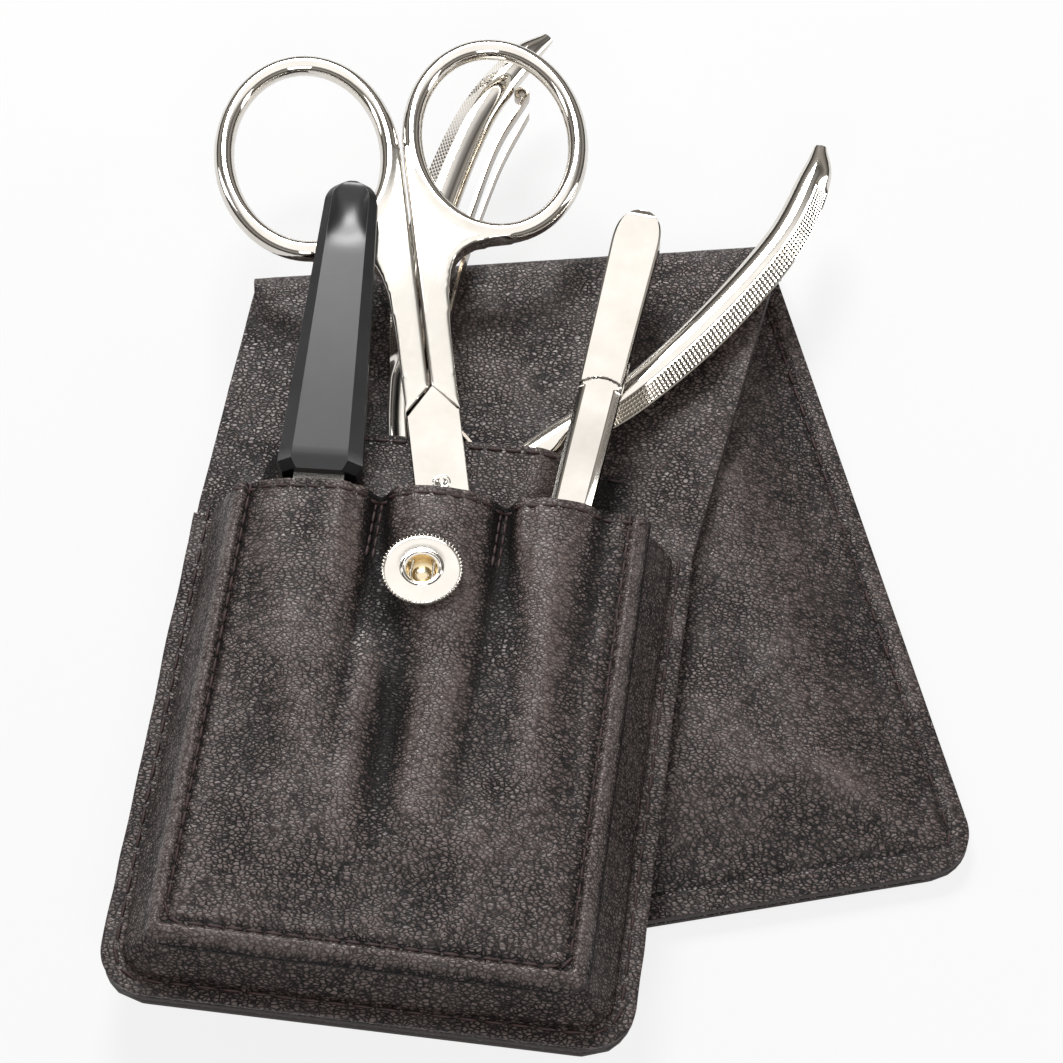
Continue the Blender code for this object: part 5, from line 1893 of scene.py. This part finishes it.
    def lever(self, side: float, name: str, node: str) -> bpy.types.Object:
        """One lever: its handle, half joint, jaw and knurl.

        Args:
            side: 1 for the right lever, which lies below at the joint.
            name: Name of the piece.
            node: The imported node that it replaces.

        Returns:
            The piece.
        """
        line, widths = self.route(side, 12)
        rings = []
        facet: list[list[Vector]] = []
        for index, (spot, wide) in enumerate(zip(line, widths)):
            before = line[max(index - 1, 0)]
            after = line[min(index + 1, len(line) - 1)]
            along = (after - before).normalized()
            outward = Vector((along.y, -along.x, 0.0)) * side
            grip = smoothstep((spot.y - 0.0180) / 0.004) * smoothstep((0.0765 - spot.y) / 0.004)
            ring = []
            for x, z in self.section(wide, grip):
                point = spot + outward * x + Vector((0.0, 0.0, z))
                if Vector((point.x, point.y)).length < 0.0062:
                    point.z = min(point.z, -self.gap) if side > 0 else max(point.z, self.gap)
                    point.z = max(min(point.z, self.joint_half), -self.joint_half)
                ring.append(point)
            rings.append([self.frame_of @ p for p in ring])
            if 0.0215 < spot.y < 0.0735:
                facet.append([ring[i].copy() for i in range(11)])
        handle = self.shop.loft(name + "_handle", rings, self.shop.nickel, angle=30.0)
        knurl = self.knurl(name, facet, side)
        low, high = (-self.joint_half, -self.gap) if side > 0 else (self.gap, self.joint_half)
        disc = self.shop.loft(name + "_disc", [
            [self.frame_of @ p for p in ring] for ring in lathe_rings([
                (self.joint_radius - 0.0003, low), (self.joint_radius, low + 0.0003),
                (self.joint_radius, high - 0.0003), (self.joint_radius - 0.0003, high),
                (0.0021, high), (0.0021, low),
            ], (0.0, 0.0), 64)
        ], self.shop.nickel, closed=True)

        def depth(y: float) -> float:
            return 0.0025 + (0.0012 - 0.0025) * (-y / 0.0200)

        jaw_outline = [
            (-side * 0.0006, -0.0061), (-side * 0.0018, -0.0200), (-side * 0.0030, -0.0200),
            (-side * 0.0048, -0.0085), (-side * 0.0046, -0.0061),
        ]
        jaw = self.shop.loft(name + "_jaw", [
            [self.frame_of @ p for p in ring]
            for ring in prism_rings(jaw_outline, lambda y: -depth(y), depth)
        ], self.shop.nickel)
        neck_outline = [
            (-side * 0.0006, -0.0030), (-side * 0.0006, -0.0064), (-side * 0.0045, -0.0064),
            (-side * 0.0036, -0.0030),
        ]
        neck = self.shop.loft(name + "_neck", [
            [self.frame_of @ p for p in ring]
            for ring in prism_rings(neck_outline, lambda y: low + 0.0001, lambda y: high - 0.0001)
        ], self.shop.nickel)
        for part in (jaw, neck):
            soft = part.modifiers.new("Edges", "BEVEL")
            soft.width = 0.0002
            soft.segments = 2
        made = self.shop.joined(name, [handle, knurl, disc, jaw, neck])
        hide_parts(node)
        return made

    def knurl(self, name: str, facet: list[list[Vector]], side: float) -> bpy.types.Object:
        """The knurl over the facet, one pyramid to a cell."""
        length = sum((b[5] - a[5]).length for a, b in zip(facet, facet[1:]))
        cells = round(length / 0.00062)
        verts: list[Vector] = []
        rows = 5
        for index in range(cells + 1):
            place = index / cells * (len(facet) - 1)
            first = min(int(place), len(facet) - 2)
            mix = place - first
            for row in range(rows + 1):
                column = 0.5 + 9.0 * row / rows
                low = int(column)
                part = column - low
                a = facet[first][low].lerp(facet[first][low + 1], part)
                b = facet[first + 1][low].lerp(facet[first + 1][low + 1], part)
                verts.append(self.frame_of @ a.lerp(b, mix))
        faces = []
        for index in range(cells):
            for row in range(rows):
                a = index * (rows + 1) + row
                quad = (a, a + rows + 1, a + rows + 2, a + 1)
                faces.append(quad if side > 0 else quad[::-1])
        mesh = self.shop.mesh_from(name + "_knurl", verts, faces)
        made = self.shop.link(name + "_knurl", mesh)
        made.data.materials.append(self.shop.nickel)
        lay = made.modifiers.new("Knurl", "NODES")
        lay.node_group = self.knurl_tree
        values = {"Height": 0.00026, "Top Share": 0.20, "Metal": self.shop.nickel}
        for item in self.knurl_tree.interface.items_tree:
            if item.in_out == "INPUT" and item.name in values:
                lay[item.identifier] = values[item.name]
        return made

    def spring(
        self, name: str, points: Sequence[tuple[float, float]], rolled: bool,
    ) -> bpy.types.Object:
        """A leaf spring, with a rolled end where it hooks the other."""
        route = catmull([Vector((w, u, 0.0)) for u, w in points], 12)
        if rolled:
            last = route[-1]
            along = (route[-1] - route[-3]).normalized()
            aside = Vector((-along.y, along.x, 0.0))
            centre = last + aside * 0.0008
            for step in range(1, 14):
                angle = -math.pi / 2 + 1.55 * math.pi * step / 13
                route.append(
                    centre + along * 0.0008 * math.cos(angle) + aside * 0.0008 * math.sin(angle)
                )
        rings = []
        for index, spot in enumerate(route):
            before = route[max(index - 1, 0)]
            after = route[min(index + 1, len(route) - 1)]
            along = (after - before).normalized()
            aside = Vector((along.y, -along.x, 0.0))
            taper = 1.0 - 0.35 * smoothstep((index / len(route) - 0.55) / 0.4)
            half = 0.0014 * taper
            ring = []
            for x, z in (
                (-1, -0.8), (-0.7, -1), (0.7, -1), (1, -0.8),
                (1, 0.8), (0.7, 1), (-0.7, 1), (-1, 0.8),
            ):
                ring.append(self.frame_of @ (spot + aside * 0.0003 * x + Vector((0, 0, half * z))))
            rings.append(ring)
        # The leaves take the darker spring finish, whose colour is partly painted shade.
        return self.shop.loft(name, rings, self.shop.spring, angle=30.0)

    def build(self) -> list[tuple[bpy.types.Object, str]]:
        """Both levers, the pivot screw and the springs.

        Returns:
            Each piece with its body.
        """
        right = self.lever(1.0, "nipper_right_arm", "nipper_right_lever")
        left = self.lever(-1.0, "nipper_left_arm", "nipper_left_lever")
        first = self.spring("nipper_long_leaf", self.right_spring, False)
        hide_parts("nipper_right_spring")
        second = self.spring("nipper_hooked_leaf", self.left_spring, True)
        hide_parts("nipper_left_spring")
        centre = self.frame_of.to_translation()
        low, high = centre.z - self.joint_half, centre.z + self.joint_half
        screw = self.shop.loft("nipper_screw", lathe_rings([
            (0.0, low), (0.0016, low), (0.0018, low + 0.0002), (0.0018, high - 0.0002),
            (0.0016, high), (0.0, high),
        ], centre, 48), self.shop.nickel, angle=50.0)
        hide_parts("nipper_pivot_screw")
        return [
            (right, "nipper"), (left, "nipper_left"), (first, "nipper"),
            (second, "nipper_left"), (screw, "nipper"),
        ]


@dataclass
class Studio:
    """Camera, floor and soft light."""

    aim: Vector = field(default_factory=lambda: Vector((0.010803, 0.004017, 0.0)))
    eye: Vector = field(default_factory=lambda: Vector((0.043866, -0.247118, 0.405367)))
    lens: float = 120.0
    air: float = 0.07
    room: float = 1.35
    floor_glow: float = 0.82
    floor_in_gloss: float = 0.40
    room_stops: tuple[tuple[float, float, float], ...] = (
        (0.0, 0.08, 0.10), (0.16, 0.03, 0.10), (0.32, 0.16, 0.14), (0.50, 0.30, 0.12),
        (0.64, 0.08, 0.14), (0.77, 0.30, 0.06), (0.83, 1.0, 0.02), (1.0, 1.0, 0.02),
    )

    def build_camera(self) -> None:
        """A camera at the photograph's angle."""
        data = bpy.data.cameras.new("photo_view")
        data.lens = self.lens
        data.sensor_width = 36.0
        data.clip_start = 0.01
        made = bpy.data.objects.new("photo_view", data)
        shift = Vector((0.0, ORIGIN_Y, 0.0))
        made.location = self.eye - shift
        made.rotation_euler = (self.aim - self.eye).to_track_quat("-Z", "Y").to_euler()
        bpy.context.scene.collection.objects.link(made)
        bpy.context.scene.camera = made

    def build_floor(self) -> None:
        """A pale floor that the camera and the metal see as white."""
        mesh = bpy.data.meshes.new("floor")
        size = 3.0
        level = -0.00002
        mesh.from_pydata(
            [(x * size, y * size, level) for x, y in ((-1, -1), (1, -1), (1, 1), (-1, 1))],
            [], [(0, 1, 2, 3)],
        )
        floor = bpy.data.objects.new("floor", mesh)
        bpy.context.scene.collection.objects.link(floor)
        tree = ShaderTree("pale_floor")
        tree.feed(tree.shader.inputs["Base Color"], (0.80, 0.80, 0.80, 1.0))
        tree.feed(tree.shader.inputs["Roughness"], 0.9)
        path = tree.node("ShaderNodeLightPath", {}, {})
        seen = Number(tree, path.outputs["Is Camera Ray"]) * self.floor_glow
        seen = seen + Number(tree, path.outputs["Is Glossy Ray"]) * self.floor_in_gloss
        glow = tree.node("ShaderNodeEmission", {}, {"Color": (1, 1, 1, 1), "Strength": 1.0})
        mixed = tree.node(
            "ShaderNodeMixShader", {},
            {0: seen.held(), 1: tree.shader.outputs[0], 2: glow.outputs[0]},
        )
        output = tree.nodes["Material Output"]
        tree.links.new(mixed.outputs[0], output.inputs["Surface"])
        mesh.materials.append(tree.material)

    def build_world(self) -> None:
        """A soft room: white to the camera, and to gloss white above and dim near the floor."""
        world = bpy.data.worlds.new("soft_room")
        bpy.context.scene.world = world
        world.use_nodes = True
        nodes, links = world.node_tree.nodes, world.node_tree.links
        air = nodes["Background"]
        air.inputs["Color"].default_value = (1.0, 1.0, 1.0, 1.0)
        air.inputs["Strength"].default_value = self.air
        white = nodes.new("ShaderNodeBackground")
        room = nodes.new("ShaderNodeBackground")
        look = nodes.new("ShaderNodeTexCoord")
        apart = nodes.new("ShaderNodeSeparateXYZ")
        links.new(look.outputs["Generated"], apart.inputs[0])
        shade = nodes.new("ShaderNodeValToRGB")
        stops = shade.color_ramp.elements
        while len(stops) < len(self.room_stops):
            stops.new(0.5)
        for stop, (height, level, warm) in zip(stops, self.room_stops):
            stop.position = height
            stop.color = (level, level * (1.0 - 0.5 * warm), level * (1.0 - warm), 1.0)
        links.new(apart.outputs["Z"], shade.inputs[0])
        links.new(shade.outputs[0], room.inputs["Color"])
        room.inputs["Strength"].default_value = self.room
        path = nodes.new("ShaderNodeLightPath")
        gloss = nodes.new("ShaderNodeMixShader")
        links.new(path.outputs["Is Glossy Ray"], gloss.inputs[0])
        links.new(air.outputs[0], gloss.inputs[1])
        links.new(room.outputs[0], gloss.inputs[2])
        mix = nodes.new("ShaderNodeMixShader")
        links.new(path.outputs["Is Camera Ray"], mix.inputs[0])
        links.new(gloss.outputs[0], mix.inputs[1])
        links.new(white.outputs[0], mix.inputs[2])
        links.new(mix.outputs[0], nodes["World Output"].inputs["Surface"])

    def add_panel(
        self, name: str, place: Sequence[float], size: tuple[float, float], power: float,
    ) -> None:
        """A soft light panel aimed at the case.

        Args:
            name: Name of the light.
            place: Its centre.
            size: Width and height.
            power: Its power in watts.
        """
        data = bpy.data.lights.new(name, "AREA")
        data.shape = "RECTANGLE"
        data.size, data.size_y = size
        data.energy = power
        made = bpy.data.objects.new(name, data)
        made.location = place
        made.rotation_euler = (-Vector(place)).to_track_quat("-Z", "Y").to_euler()
        bpy.context.scene.collection.objects.link(made)

    def build(self) -> None:
        """Set the whole stage."""
        bpy.context.scene.view_settings.view_transform = "Standard"
        self.build_camera()
        self.build_floor()
        self.build_world()
        self.add_panel("top_panel", (-0.16, 0.50, 0.50), (0.30, 0.24), 5.0)
        self.add_panel("left_panel", (-0.62, 0.16, 0.30), (0.16, 0.36), 0.7)
        self.add_panel("right_panel", (0.60, 0.20, 0.26), (0.16, 0.36), 1.0)
        self.add_panel("front_panel", (0.10, -0.60, 0.50), (0.50, 0.30), 2.4)


def dress_node(name: str, finish: bpy.types.Material) -> None:
    """Give a carried-over node its finish."""
    made = bpy.data.objects[name]
    made.data.materials.clear()
    made.data.materials.append(finish)


def main() -> None:
    """Build and dress every sub-assembly in order."""
    logging.basicConfig(level=logging.INFO, format="%(message)s")
    Studio().build()
    shop = Workshop()
    case = LeatherCase(shop)
    pieces: list[tuple[bpy.types.Object, str]] = []
    pieces += [(made, "case") for made in case.build_front()]
    pieces += [(case.build_gusset(), "case"), (case.build_inner_panel(), "case")]
    pieces += [(made, "case") for made in case.build_back()]
    pieces += [(made, "flap") for made in case.build_flap()]
    fold = case.build_fold()
    middle = case.hinge_left.lerp(case.hinge_right, 0.5)
    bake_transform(fold)
    LOG.info("fold_roll follows case and flap")
    pieces += Stitching(shop, case).build()
    pieces += SnapSocket(shop, case).build()
    pieces += FileTool(shop).build()
    pieces += Scissors(shop).build()
    pieces += Tweezers(shop).build()
    pieces += Nipper(shop).build()
    for name, finish in (
        ("file_blade", shop.grit), ("snap_socket_eyelet", shop.brass), ("snap_stud", shop.nickel),
        ("snap_stud_base", shop.brass), ("nipper_right_spring_rivet", shop.nickel),
        ("nipper_left_spring_rivet", shop.nickel),
    ):
        dress_node(name, finish)
    for made, body in pieces:
        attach(made, body)
        LOG.info("%s rides on %s", made.name, body)


if __name__ == "__main__":
    main()
